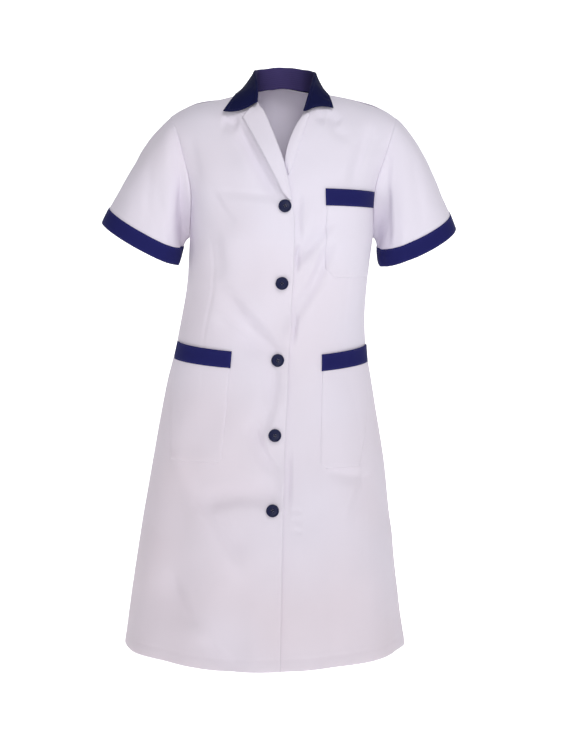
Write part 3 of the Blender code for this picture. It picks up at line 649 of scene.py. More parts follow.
def new_group(name: str, inputs: Sequence[tuple[str, float]], outputs: Sequence[str]) -> bpy.types.NodeTree:
    """Starts a shader group.

    Args:
        name: the group's name.
        inputs: each input's name and default value, all plain numbers.
        outputs: each output's name, all plain numbers.

    Returns:
        The group, with its input and output nodes.
    """
    group = bpy.data.node_groups.new(name, "ShaderNodeTree")
    for socket, value in inputs:
        made = group.interface.new_socket(socket, in_out="INPUT", socket_type="NodeSocketFloat")
        made.default_value = value
    for socket in outputs:
        group.interface.new_socket(socket, in_out="OUTPUT", socket_type="NodeSocketFloat")
    group.nodes.new("NodeGroupInput")
    group.nodes.new("NodeGroupOutput")
    return group


class NodeBench:
    """Adds nodes to a tree and wires them, so that a material reads as a short list of steps."""

    def __init__(self, tree: bpy.types.NodeTree) -> None:
        """Takes the tree that the nodes go into."""
        self.tree = tree

    def fill(self, node: bpy.types.Node, values: Inputs) -> None:
        """Sets a node's inputs.

        Args:
            node: the node.
            values: each input's value, or the output socket that feeds it.
        """
        for socket, value in values.items():
            if isinstance(value, bpy.types.NodeSocket):
                self.tree.links.new(value, node.inputs[socket])
            else:
                node.inputs[socket].default_value = value

    def add(self, kind: str, values: Inputs | None = None, **settings: object) -> bpy.types.Node:
        """Adds a node.

        Args:
            kind: the node's type.
            values: each input's value, or the output socket that feeds it.
            settings: the node's own settings.

        Returns:
            The node.
        """
        node = self.tree.nodes.new(kind)
        for name, value in settings.items():
            setattr(node, name, value)
        self.fill(node, values or {})
        return node

    def math(self, operation: str, a: object, b: object = 0.0, c: object = 0.0) -> bpy.types.NodeSocket:
        """The result of one sum on two or three values or sockets."""
        return self.add("ShaderNodeMath", {0: a, 1: b, 2: c}, operation=operation).outputs[0]

    def blend(self, share: object, first: object, second: object) -> bpy.types.NodeSocket:
        """Mixes two colours.

        Args:
            share: how much of the second colour there is.
            first: a colour, or the socket that gives it.
            second: a colour, or the socket that gives it.

        Returns:
            The mixed colour.
        """
        ends = [end if isinstance(end, bpy.types.NodeSocket) else (*end, 1.0) for end in (first, second)]
        return self.add("ShaderNodeMix", {0: share, 6: ends[0], 7: ends[1]}, data_type="RGBA").outputs[2]

    def noise(self, vector: bpy.types.NodeSocket, scale: object, detail: float = 2.0) -> bpy.types.NodeSocket:
        """A smooth noise at the given scale."""
        values = {"Vector": vector, "Scale": scale, "Detail": detail}
        return self.add("ShaderNodeTexNoise", values).outputs["Fac"]

    def place(self) -> bpy.types.NodeSocket:
        """The place on the object."""
        return self.add("ShaderNodeTexCoord").outputs["Object"]

    def cloth_map(self) -> bpy.types.NodeSocket:
        """The cloth's own map, in metres."""
        return self.add("ShaderNodeUVMap", uv_map="lay").outputs["UV"]

    def mask(self, name: str) -> bpy.types.NodeSocket:
        """A mask that the sheet carries."""
        return self.add("ShaderNodeAttribute", attribute_name=name).outputs["Fac"]

    def parts(self, vector: bpy.types.NodeSocket) -> Sequence[bpy.types.NodeSocket]:
        """The three parts of a vector."""
        return self.add("ShaderNodeSeparateXYZ", {0: vector}).outputs

    def stretched(self, vector: bpy.types.NodeSocket, scale: Triple) -> bpy.types.NodeSocket:
        """A place scaled along its three axes."""
        return self.add("ShaderNodeMapping", {"Vector": vector, "Scale": scale}).outputs[0]

    def scaled(self, colour: object, share: bpy.types.NodeSocket) -> bpy.types.NodeSocket:
        """A colour made brighter or darker by a share."""
        return self.add("ShaderNodeVectorMath", {0: colour, "Scale": share}, operation="SCALE").outputs[0]

    def bump(self, **values: object) -> bpy.types.NodeSocket:
        """The normal that a height gives."""
        return self.add("ShaderNodeBump", values).outputs[0]


class MaterialBench(NodeBench):
    """A new material and its nodes."""

    def __init__(self, name: str, colour: Colour) -> None:
        """Starts the material.

        Args:
            name: its name.
            colour: its plain colour, for the viewport.
        """
        self.material = bpy.data.materials.new(name)
        self.material.use_nodes = True
        self.material.diffuse_color = (*colour, 1.0)
        super().__init__(self.material.node_tree)

    def finish(self, values: Inputs) -> bpy.types.Material:
        """Sets or feeds the shader's inputs, and hands over the material."""
        self.fill(self.tree.nodes["Principled BSDF"], values)
        return self.material


def weave_group() -> bpy.types.NodeTree:
    """Plain weave: threads that pass over and under each other, on the cloth's own map in metres.

    Returns:
        The group.
    """
    group = new_group("plain weave", [("Threads per metre", 2400.0), ("Slub", 0.35)], ["Height", "Shade"])
    bench = NodeBench(group)
    enter, leave = group.nodes["Group Input"], group.nodes["Group Output"]
    lay = bench.cloth_map()
    parts = bench.parts(lay)
    turns = bench.math("MULTIPLY", enter.outputs["Threads per metre"], math.pi)
    warp = bench.math("SINE", bench.math("MULTIPLY", parts[0], turns))
    weft = bench.math("SINE", bench.math("MULTIPLY", parts[1], turns))
    crossing = bench.math("MULTIPLY", warp, weft)
    upright = bench.noise(bench.stretched(lay, (SLUB_FINE, SLUB_LONG, 1.0)), 1.0)
    crosswise = bench.noise(bench.stretched(lay, (SLUB_LONG, SLUB_FINE, 1.0)), 1.0)
    streaks = bench.math("ADD", upright, crosswise)
    uneven = bench.math("MULTIPLY", bench.math("SUBTRACT", streaks, 1.0), enter.outputs["Slub"])
    height = bench.math("ADD", bench.math("MULTIPLY", crossing, 0.5), uneven)
    bench.fill(leave, {"Height": height, "Shade": uneven})
    return group


def rumple_group() -> bpy.types.NodeTree:
    """Soft unevenness left by washing and pressing, too slight for the mesh.

    Returns:
        The group.
    """
    group = new_group("soft unevenness", [("Size", 22.0)], ["Height"])
    bench = NodeBench(group)
    enter, leave = group.nodes["Group Input"], group.nodes["Group Output"]
    drawn = bench.stretched(bench.place(), (1.0, 1.0, DRAWN_DOWN))
    bench.fill(leave, {"Height": bench.noise(drawn, enter.outputs["Size"], 1.5)})
    return group


def tone_group() -> bpy.types.NodeTree:
    """Uneven tone: slow mottling, a cool-to-warm shift that is painted shade towards the bottom and the
    wearer's right with random patches over it, rubbing along the edges, the inner rows, and the mask of the
    inner face that is painted paler as if lit.

    Returns:
        The group.
    """
    inputs = [("Mottle", 0.03), ("Edge", 0.05), ("Shade", 0.0), ("Rows", 0.0)]
    group = new_group("cloth tone", inputs, ["Brightness", "Rubbing", "Painted shade and patches", "Inner"])
    bench = NodeBench(group)
    enter, leave = group.nodes["Group Input"], group.nodes["Group Output"]
    place = bench.place()
    slow = bench.math("SUBTRACT", bench.noise(place, MOTTLE_SCALE, 3.0), 0.5)
    mottle = bench.math("MULTIPLY", slow, enter.outputs["Mottle"])
    patchy = bench.math("MULTIPLY", bench.mask("edge"), bench.noise(place, RUBBING_SCALE, 2.0))
    rubbed = bench.math("MULTIPLY", patchy, enter.outputs["Edge"])
    # Painted light: the mask where the collar's inner face is painted paler, as if lit, fading round its
    # sides as painted shade; it also carries the inner rows
    inner = bench.mask("inner")
    along = bench.parts(bench.cloth_map())[1]
    rows = bench.math("SINE", bench.math("MULTIPLY", along, 2 * math.pi / INNER_ROW_PITCH))
    lined = bench.math("MULTIPLY", bench.math("MULTIPLY", rows, inner), enter.outputs["Rows"])
    total = bench.math("ADD", bench.math("ADD", mottle, rubbed), enter.outputs["Shade"])
    brightness = bench.math("ADD", bench.math("ADD", total, lined), 1.0)
    parts = bench.parts(place)
    # Painted shade: warmer and greyer towards the bottom and the wearer's right, with random patches added
    lower = bench.math("MULTIPLY_ADD", parts[2], PAINTED_SHADE_AND_PATCHY_WARMTH["down"], PAINTED_SHADE_AND_PATCHY_WARMTH["start"])
    lower = bench.math("MULTIPLY_ADD", parts[0], PAINTED_SHADE_AND_PATCHY_WARMTH["across"], lower)
    painted_shade_and_patch_drift = bench.math("MULTIPLY_ADD", bench.noise(place, PAINTED_SHADE_AND_PATCHY_WARMTH["scale"], 1.0), PAINTED_SHADE_AND_PATCHY_WARMTH["patchy"], lower)
    shade_and_patches = bench.add("ShaderNodeClamp", {"Value": painted_shade_and_patch_drift}).outputs[0]
    bench.fill(leave, {"Brightness": brightness, "Rubbing": patchy, "Painted shade and patches": shade_and_patches, "Inner": inner})
    return group


WEAVE = weave_group()
RUMPLE = rumple_group()
TONE = tone_group()


@dataclass(frozen=True)
class ClothFinish:
    """Woven poly-cotton of one dye, with a warmer tint painted in as shade and in random patches, and a paler
    tint painted on its inner face as if lit.
    """

    colour: Colour
    # the tint painted in as shade lower down and to the wearer's right, and in random patches
    painted_shade_and_patch_drift: Colour
    # the paler tint painted on the inner face, as if lit
    inner: Colour | None = None
    roughness: float = 0.86
    specular: float = 0.30
    sheen: float = 0.06
    sheen_roughness: float = 0.45
    threads: float = 2400.0
    weave_depth: float = 0.00005
    uneven_depth: float = 0.0009
    mottle: float = 0.020
    edge: float = 0.03
    inner_rows: float = 0.0
    slub_shade: float = 0.04
    rubbed_smoother: float = 0.12

    def material(self, name: str) -> bpy.types.Material:
        """Makes the cloth's material.

        Args:
            name: the material's name.

        Returns:
            The material.
        """
        bench = MaterialBench(name, self.colour)
        weave = bench.add("ShaderNodeGroup", {"Threads per metre": self.threads}, node_tree=WEAVE).outputs
        uneven = bench.add("ShaderNodeGroup", node_tree=RUMPLE).outputs["Height"]
        tone = bench.add("ShaderNodeGroup", {
            "Mottle": self.mottle,
            "Edge": self.edge,
            "Rows": self.inner_rows,
            "Shade": bench.math("MULTIPLY", weave["Shade"], self.slub_shade),
        }, node_tree=TONE).outputs
        # Painted shade: blends towards the warmer tint where shade falls, and in random patches
        tint = bench.blend(tone["Painted shade and patches"], self.colour, self.painted_shade_and_patch_drift)
        if self.inner:
            # Painted light: the inner face is painted paler, as if lit
            tint = bench.blend(tone["Inner"], tint, self.inner)
        slow = bench.bump(Height=uneven, Distance=self.uneven_depth, Strength=1.0)
        fine = bench.bump(Height=weave["Height"], Distance=self.weave_depth, Strength=1.0, Normal=slow)
        return bench.finish({
            "Sheen Weight": self.sheen,
            "Sheen Roughness": self.sheen_roughness,
            "Specular IOR Level": self.specular,
            "Base Color": bench.scaled(tint, tone["Brightness"]),
            "Roughness": bench.math("MULTIPLY_ADD", tone["Rubbing"], -self.rubbed_smoother, self.roughness),
            "Normal": fine,
        })


@dataclass(frozen=True)
class ThreadFinish:
    """Spun polyester sewing thread."""

    colour: Colour
    roughness: float = 0.55
    sheen: float = 0.2
    ply: float = 1400.0
    twist_depth: float = 0.00008

    def material(self, name: str) -> bpy.types.Material:
        """Makes the thread's material, with its twist in the bump.

        Args:
            name: the material's name.

        Returns:
            The material.
        """
        bench = MaterialBench(name, self.colour)
        twist = bench.noise(bench.place(), self.ply, 1.0)
        return bench.finish({
            "Sheen Weight": self.sheen,
            "Base Color": bench.scaled(self.colour, bench.math("MULTIPLY_ADD", twist, 0.25, 0.88)),
            "Roughness": bench.math("MULTIPLY_ADD", twist, 0.2, self.roughness),
            "Normal": bench.bump(Height=twist, Distance=self.twist_depth, Strength=0.7),
        })


@dataclass(frozen=True)
class PlasticFinish:
    """Moulded button plastic with fine handling scratches."""

    colour: Colour = (0.0095, 0.0125, 0.0500)
    roughness: float = 0.40
    specular: float = 0.14
    coat: float = 0.03
    coat_roughness: float = 0.25
    cloud_scale: float = 180.0
    scratch_scale: Triple = (2600.0, 2600.0, 240.0)
    scratch_depth: float = 0.00003

    def material(self, name: str) -> bpy.types.Material:
        """Makes the button's material.

        Args:
            name: the material's name.

        Returns:
            The material.
        """
        bench = MaterialBench(name, self.colour)
        place = bench.place()
        cloudy = bench.noise(place, self.cloud_scale, 3.0)
        marks = bench.noise(bench.stretched(place, self.scratch_scale), 1.0, 2.0)
        return bench.finish({
            "Specular IOR Level": self.specular,
            "Coat Weight": self.coat,
            "Coat Roughness": self.coat_roughness,
            "Base Color": bench.scaled(self.colour, bench.math("MULTIPLY_ADD", cloudy, 0.35, 0.82)),
            "Roughness": bench.math("MULTIPLY_ADD", marks, 0.22, self.roughness - 0.11),
            "Normal": bench.bump(Height=marks, Distance=self.scratch_depth, Strength=0.5),
        })


# The second tint of each cloth is painted shade, with random patches, lower down and towards the wearer's
# right
WHITE_CLOTH = ClothFinish(colour=(0.764, 0.724, 0.824), painted_shade_and_patch_drift=(0.760, 0.684, 0.756))
NAVY_CLOTH = ClothFinish(
    colour=(0.0120, 0.0125, 0.0980),
    painted_shade_and_patch_drift=(0.0140, 0.0150, 0.1050),
    specular=0.12,
    sheen=0.02,
    uneven_depth=0.0004,
    mottle=0.14,
    edge=0.35,
)
COLLAR_CLOTH = ClothFinish(
    colour=(0.0055, 0.0070, 0.0440),
    painted_shade_and_patch_drift=(0.0065, 0.0080, 0.0520),
    # Painted light: the stand's inner face is painted paler than the same navy, as if lit
    inner=(0.0600, 0.0450, 0.1500),
    specular=0.10,
    sheen=0.0,
    uneven_depth=0.0003,
    mottle=0.14,
    edge=0.35,
    inner_rows=0.07,
)
WHITE_THREAD = ThreadFinish(colour=(0.76, 0.71, 0.80))
NAVY_THREAD = ThreadFinish(colour=(0.010, 0.011, 0.070))
BUTTON_THREAD = ThreadFinish(colour=(0.004, 0.005, 0.020), roughness=0.75, sheen=0.0)
BUTTON_PLASTIC = PlasticFinish()


def keep_mesh(bm: bmesh.types.BMesh, name: str, material: bpy.types.Material) -> bpy.types.Object:
    """Turns a finished bmesh into an object of the scene.

    Args:
        bm: the mesh, which is freed.
        name: the object's name.
        material: its finish.

    Returns:
        The object, at the origin.
    """
    mesh = bpy.data.meshes.new(name)
    bm.to_mesh(mesh)
    bm.free()
    mesh.shade_smooth()
    obj = bpy.data.objects.new(name, mesh)
    bpy.context.scene.collection.objects.link(obj)
    obj.data.materials.append(material)
    return obj


@dataclass(frozen=True)
class Cut:
    """The flat cut of what shows of a sheet: width, length, and area where it isn't a rectangle."""

    width: float
    length: float
    area: float | None = None


@dataclass
class ClothSheet:
    """One cut piece of cloth: a fine grid laid on its surface, mapped in metres and thickened."""

    node: str
    surface: Surface
    columns: int
    rows: int
    cut: Cut
    finish: ClothFinish
    slot: str
    held: Hold = Hold.HUNG
    rests_on: tuple[str, ...] = ()
    wall: float = WALL
    tube: bool = False
    outward: int = 1
    edge_reach: float = 0.004
    # mask of a paler tint painted on the sheet as light, with painted shade where it fades
    inner: Callable[[Field, Field], Field] | None = None
    thin_edge: float = 1.0

    def place(self, u: Field, v: Field) -> tuple[Field, Field]:
        """Points on the cloth's outer face.

        Args:
            u: shares across the sheet.
            v: shares along the sheet.

        Returns:
            The points, and the directions in which the face looks there.
        """
        u, v = np.broadcast_arrays(np.asarray(u, float), np.asarray(v, float))
        low_u, high_u = u - FACING_STEP, u + FACING_STEP
        if not self.tube:
            low_u, high_u = np.clip(low_u, 0, 1), np.clip(high_u, 0, 1)
        low_v, high_v = np.clip(v - FACING_STEP, 0, 1), np.clip(v + FACING_STEP, 0, 1)
        across = self.surface(high_u, v) - self.surface(low_u, v)
        along = self.surface(u, high_v) - self.surface(u, low_v)
        facing = unit(np.cross(across, along)) * self.outward
        return self.surface(u, v) + facing * (self.wall / 2), facing

    def lay(self, bm: bmesh.types.BMesh) -> None:
        """Places the grid's points and gives them the map in metres and the mask of the sheet's edges.

        Args:
            bm: a grid from -1 to 1 both ways.
        """
        bm.verts.ensure_lookup_table()
        flat = np.array([vert.co[:2] for vert in bm.verts])
        i = np.round((flat[:, 0] + 1) / 2 * self.columns).astype(int)
        j = np.round((flat[:, 1] + 1) / 2 * self.rows).astype(int)
        points = self.surface(i / self.columns, j / self.rows)
        grid = np.zeros((self.rows + 1, self.columns + 1, 3))
        grid[j, i] = points
        across = np.zeros(grid.shape[:2])
        across[:, 1:] = np.cumsum(np.linalg.norm(np.diff(grid, axis=1), axis=-1), axis=1)
        along = np.zeros(grid.shape[:2])
        along[1:] = np.cumsum(np.linalg.norm(np.diff(grid, axis=0), axis=-1), axis=0)
        border = np.minimum(along, along[-1:] - along)
        if not self.tube:
            border = np.minimum(border, np.minimum(across, across[:, -1:] - across))
        edge, inner = bm.verts.layers.float.new("edge"), bm.verts.layers.float.new("inner")
        nearness = np.exp(-border[j, i] / self.edge_reach)
        # Painted light: the mask of the paler tint painted on the sheet, as if lit
        inside = self.inner(i / self.columns, j / self.rows) if self.inner else np.zeros(len(flat))
        for vert, point, near, painted_light_share in zip(bm.verts, points, nearness, inside):
            vert.co = Vector(point)
            vert[edge] = near
            vert[inner] = painted_light_share
        lay = bm.loops.layers.uv.new("lay")
        for face in bm.faces:
            for loop in face.loops:
                index = loop.vert.index
                loop[lay].uv = (across[j[index], i[index]], along[j[index], i[index]])

    def build(self) -> None:
        """Makes the sheet and puts it in place of its solid."""
        bm = bmesh.new()
        bmesh.ops.create_grid(bm, x_segments=self.columns, y_segments=self.rows, size=1.0)
        bm.verts.index_update()
        self.lay(bm)
        bmesh.ops.remove_doubles(bm, verts=bm.verts, dist=MERGE_REACH)
        name = self.node + "_cloth"
        obj = keep_mesh(bm, name, self.finish.material(name))
        wall = obj.modifiers.new("wall", "SOLIDIFY")
        wall.thickness = self.wall
        wall.offset = 0.0
        if self.thin_edge < 1:
            full = obj.vertex_groups.new(name="full")
            for vert, near in zip(obj.data.vertices, obj.data.attributes["edge"].data):
                full.add([vert.index], 1 - min(near.value, 1.0), "REPLACE")
            wall.vertex_group = full.name
            wall.thickness_vertex_group = self.thin_edge
        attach(obj, BODY)
        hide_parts(self.node)
        LOG.info("%s: %d by %d cells", name, self.columns, self.rows)


@dataclass(frozen=True)
class Sewing:
    """Machine stitches: each a short, slightly fat bead of thread sunk into the cloth."""

    length: float = 0.0024
    pitch: float = 0.0031
    thick: float = 0.00042
    sunk: float = 0.00008
    reach: float = 0.0006

    def beads(self, points: Field, facing: Field, crosswise: bool = False) -> bmesh.types.BMesh:
        """Makes one row of stitches.

        Args:
            points: places along the row, close together.
            facing: the way the cloth looks at each place.
            crosswise: lays each stitch across the row, as round a buttonhole.

        Returns:
            The row's mesh.
        """
        run = run_of(points)
        count = max(int(run[-1] / self.pitch), 1)
        bm = bmesh.new()
        for middle in (np.arange(count) + 0.5) * run[-1] / count:
            before = read_along(points, run, middle - self.reach)
            after = read_along(points, run, middle + self.reach)
            up = unit(read_along(facing, run, middle))
            ahead = unit(after - before)
            side = unit(np.cross(up, ahead))
            long_way, short_way = (side, ahead) if crosswise else (ahead, side)
            at = (before + after) / 2 - up * self.sunk
            axes = [long_way * self.length / 2, short_way * self.thick / 2, up * self.thick / 2]
            matrix = Matrix([[*(axis[k] for axis in axes), at[k]] for k in range(3)] + [[0, 0, 0, 1]])
            bmesh.ops.create_icosphere(bm, subdivisions=1, radius=1.0, matrix=matrix)
        bmesh.ops.recalc_face_normals(bm, faces=bm.faces)
        return bm

    def sew(self, name: str, rows: list[bmesh.types.BMesh], finish: ThreadFinish) -> None:
        """Joins rows of stitches into one piece that rides on the body.

        Args:
            name: the piece's name.
            rows: the rows' meshes, which are freed.
            finish: the thread.
        """
        whole = bmesh.new()
        scratch = bpy.data.meshes.new("row")
        for row in rows:
            row.to_mesh(scratch)
            row.free()
            whole.from_mesh(scratch)
        bpy.data.meshes.remove(scratch)
        obj = keep_mesh(whole, name, finish.material(name))
        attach(obj, BODY)
        LOG.info("%s: %d rows of stitches", name, len(rows))

    def sew_on(self, sheet: ClothSheet, rows: list[bmesh.types.BMesh], finish: ThreadFinish) -> None:
        """Sews rows of stitches onto a sheet, named after the sheet's piece."""
        self.sew(sheet.node + "_stitches", rows, finish)


SEWING = Sewing()


def row_on(sheet: ClothSheet, u: Field | float, v: Field | float, steps: int = 240) -> bmesh.types.BMesh:
    """A row of stitches along a straight run of shares over a sheet.

    Args:
        sheet: the cloth that is sewn.
        u: the share across at the row's start and end, or one number.
        v: the share along at the row's start and end, or one number.
        steps: how finely the row follows the cloth.

    Returns:
        The row's mesh.
    """
    ends_u, ends_v = np.broadcast_to(u, 2), np.broadcast_to(v, 2)
    t = np.linspace(0, 1, steps)
    across = ends_u[0] + (ends_u[1] - ends_u[0]) * t
    along = ends_v[0] + (ends_v[1] - ends_v[0]) * t
    return SEWING.beads(*sheet.place(across, along))


@dataclass
class BodyPanels:
    """The two fronts and the back."""

    columns: int = 120
    skirt_rows: int = 226
    yoke_rows: int = 114
    back_columns: int = 132
    front_cut: Cut = Cut(0.335, 1.010, 0.252)
    back_cut: Cut = Cut(0.560, 1.010, 0.470)
    hair: float = 1e-9
    hem_groove: Groove = Groove(0.0006, 0.0022)
    hem_pucker: float = 0.5
    hem_pucker_rates: tuple[float, float] = (190, 67)
    hem_step: float = 0.0004
    hem_step_run: float = 0.004
    seam_groove: Groove = Groove(0.0005, 0.011)
    seam_pucker: float = 0.3
    seam_pucker_rate: float = 260
    edge_groove: Groove = Groove(0.0004, 0.0012)
    stitching_below_roll: float = 0.035

    def rise(self, v: Field) -> Field:
        """Place up the body: hem to armpit takes the first part of v, armpit to shoulder the rest.

        Args:
            v: share along a panel, from the hem.

        Returns:
            The rise, as in the body form's shell.
        """
        skirt = self.skirt_rows / (self.skirt_rows + self.yoke_rows)
        low = (np.minimum(v, skirt) / skirt - 1) * (ARMPIT_Z - HEM_Z)
        high = (v - skirt) / (1 - skirt)
        return np.where(v > skirt + self.hair, high, low)

    def hem_share(self, height: float) -> float:
        """Share along a panel at a height above its hem."""
        return height / (ARMPIT_Z - HEM_Z) * self.skirt_rows / (self.skirt_rows + self.yoke_rows)

    def edge_x(self, side: Side, z: Field) -> Field:
        """x of a front's free edge: down the closure, then along the roll and the neck."""
        straight = SECTIONS.at("closure", z) - int(side) * OVERLAP
        return np.where(z < BREAK_Z, straight, FRONT_EDGES.at(side.name.lower(), z))

    def sewn_lines(self, face: Face, girth: Field, rise: Field) -> Field:
        """How far the hem's stitching and the seams pull the cloth in.

        Args:
            face: front or back.
            girth: place round the body.
            rise: place up the body.

        Returns:
            Depth at each place.
        """
        above_hem = rise + (ARMPIT_Z - HEM_Z)
        quick, slow = self.hem_pucker_rates
        pucker = 1 + self.hem_pucker * np.sin(girth * quick) * np.sin(girth * slow + 1)
        hem = self.hem_groove.at(above_hem - HEM_TURN) * pucker
        hem = hem - self.hem_step * eased((HEM_TURN - above_hem) / self.hem_step_run)
        seam = self.seam_groove.at(1 - np.abs(girth))
        return hem + seam * (1 + self.seam_pucker * np.sin(rise * self.seam_pucker_rate))

    def front(self, side: Side, u: Field, v: Field) -> Field:
        """One front, from its free edge to side seam and armhole, hem to shoulder.

        Args:
            side: the wearer's side.
            u: share across, from the free edge.
            v: share along, from the hem.

        Returns:
            Points in the middle of the cloth.
        """
        rise = self.rise(v)
        edge = np.zeros(np.shape(v))
        for _ in range(SEARCH_STEPS):
            z = FORM.shell(Face.FRONT, edge, rise)[..., 2]
            edge = FORM.place_on_front(self.edge_x(side, z), z)[0]
            edge = np.where(v >= 1, int(side) * NECK_GIRTH, edge)
        reach = FORM.side_column(SECTIONS, -int(side) * np.ones_like(rise), ARMPIT_Z + np.minimum(rise, 0))
        lap_girth = edge + int(side) * 4 / math.pi * OVERLAP / reach
        near = edge + (lap_girth - edge) * u / LAP_SHARE
        far = lap_girth + (int(side) - lap_girth) * (u - LAP_SHARE) / (1 - LAP_SHARE)
        girth = np.where(u <= LAP_SHARE, near, far)
        plain = FORM.shell(Face.FRONT, girth, rise)
        x, z = plain[..., 0], plain[..., 2]
        out = FORM.lap(side, x, z) - self.sewn_lines(Face.FRONT, girth, rise)
        from_edge = u / LAP_SHARE * 2 * OVERLAP
        if side == Side.RIGHT:
            out = out - self.edge_groove.at(from_edge - EDGE_STITCH) + self.lift(from_edge, z)
        return FORM.cloth(Face.FRONT, girth, rise, out)

    def lift(self, from_edge: Field, z: Field) -> Field:
        """How far the over front's edge stands off between its buttons.

        Args:
            from_edge: distance from the front's free edge.
            z: height.

        Returns:
            Distance outwards, in metres.
        """
        total = np.zeros(np.broadcast(from_edge, z).shape)
        for row in LIFTS.rows():
            total += row["high"] * bell(z - row["height"], row["tall"]) * bell(from_edge, LIFT_REACH)
        return total

    def back(self, u: Field, v: Field) -> Field:
        """The back, from the wearer's right side seam to the left one, hem to shoulder."""
        girth, rise = 2 * u - 1, self.rise(v)
        return FORM.cloth(Face.BACK, girth, rise, -self.sewn_lines(Face.BACK, girth, rise))

    def sheet(self, name: str, surface: Surface, columns: int, cut: Cut, outward: int) -> ClothSheet:
        """One panel's sheet, named for the panel."""
        rows = self.skirt_rows + self.yoke_rows
        return ClothSheet(name, surface, columns, rows, cut, WHITE_CLOTH, "white_" + name, outward=outward)

    def build(self) -> None:
        """Makes the three panels and their sewing."""
        right = self.sheet("front_right", partial(self.front, Side.RIGHT), self.columns, self.front_cut, -1)
        left = self.sheet("front_left", partial(self.front, Side.LEFT), self.columns, self.front_cut, 1)
        back = self.sheet("back", self.back, self.back_columns, self.back_cut, -1)
        hem = self.hem_share(HEM_TURN)
        turn = EDGE_STITCH / (2 * OVERLAP) * LAP_SHARE
        top = self.hem_share(BREAK_Z - HEM_Z - self.stitching_below_roll)
        for sheet in (right, left, back):
            sheet.build()
            stitched = [row_on(sheet, (0.0, 1.0), hem, 600)]
            if sheet is right:
                stitched.append(row_on(sheet, turn, (hem, top), 900))
            SEWING.sew_on(sheet, stitched, WHITE_THREAD)


@dataclass(frozen=True)
class SleeveSizes:
    """One sleeve: outer and inner corner of its opening seen from the front, half depth and forward dip."""

    side: Side
    outer: tuple[float, float]
    inner: tuple[float, float]
    depth: float
    dip: float
    folds: Table
    flutes: Table


SLEEVE_FLUTES = "turn wide deep start end"
SLEEVES = (
    SleeveSizes(Side.RIGHT, (-0.3095, -0.2250), (-0.1815, -0.2940), 0.060, 0.18, SLEEVE_FOLDS_RIGHT, Table(
        SLEEVE_FLUTES,
        (0.640, 0.030, 0.0032, 0.10, 1.10),
        (0.740, 0.032, -0.0026, 0.00, 1.10),
        (0.860, 0.030, 0.0028, 0.10, 1.00),
    )),
    SleeveSizes(Side.LEFT, (0.2970, -0.2340), (0.1660, -0.2975), 0.060, 0.20, SLEEVE_FOLDS_LEFT, Table(
        SLEEVE_FLUTES,
        (0.650, 0.030, 0.0030, 0.10, 1.10),
        (0.760, 0.034, -0.0026, 0.00, 1.10),
        (0.870, 0.028, 0.0026, 0.10, 1.00),
    )),
)


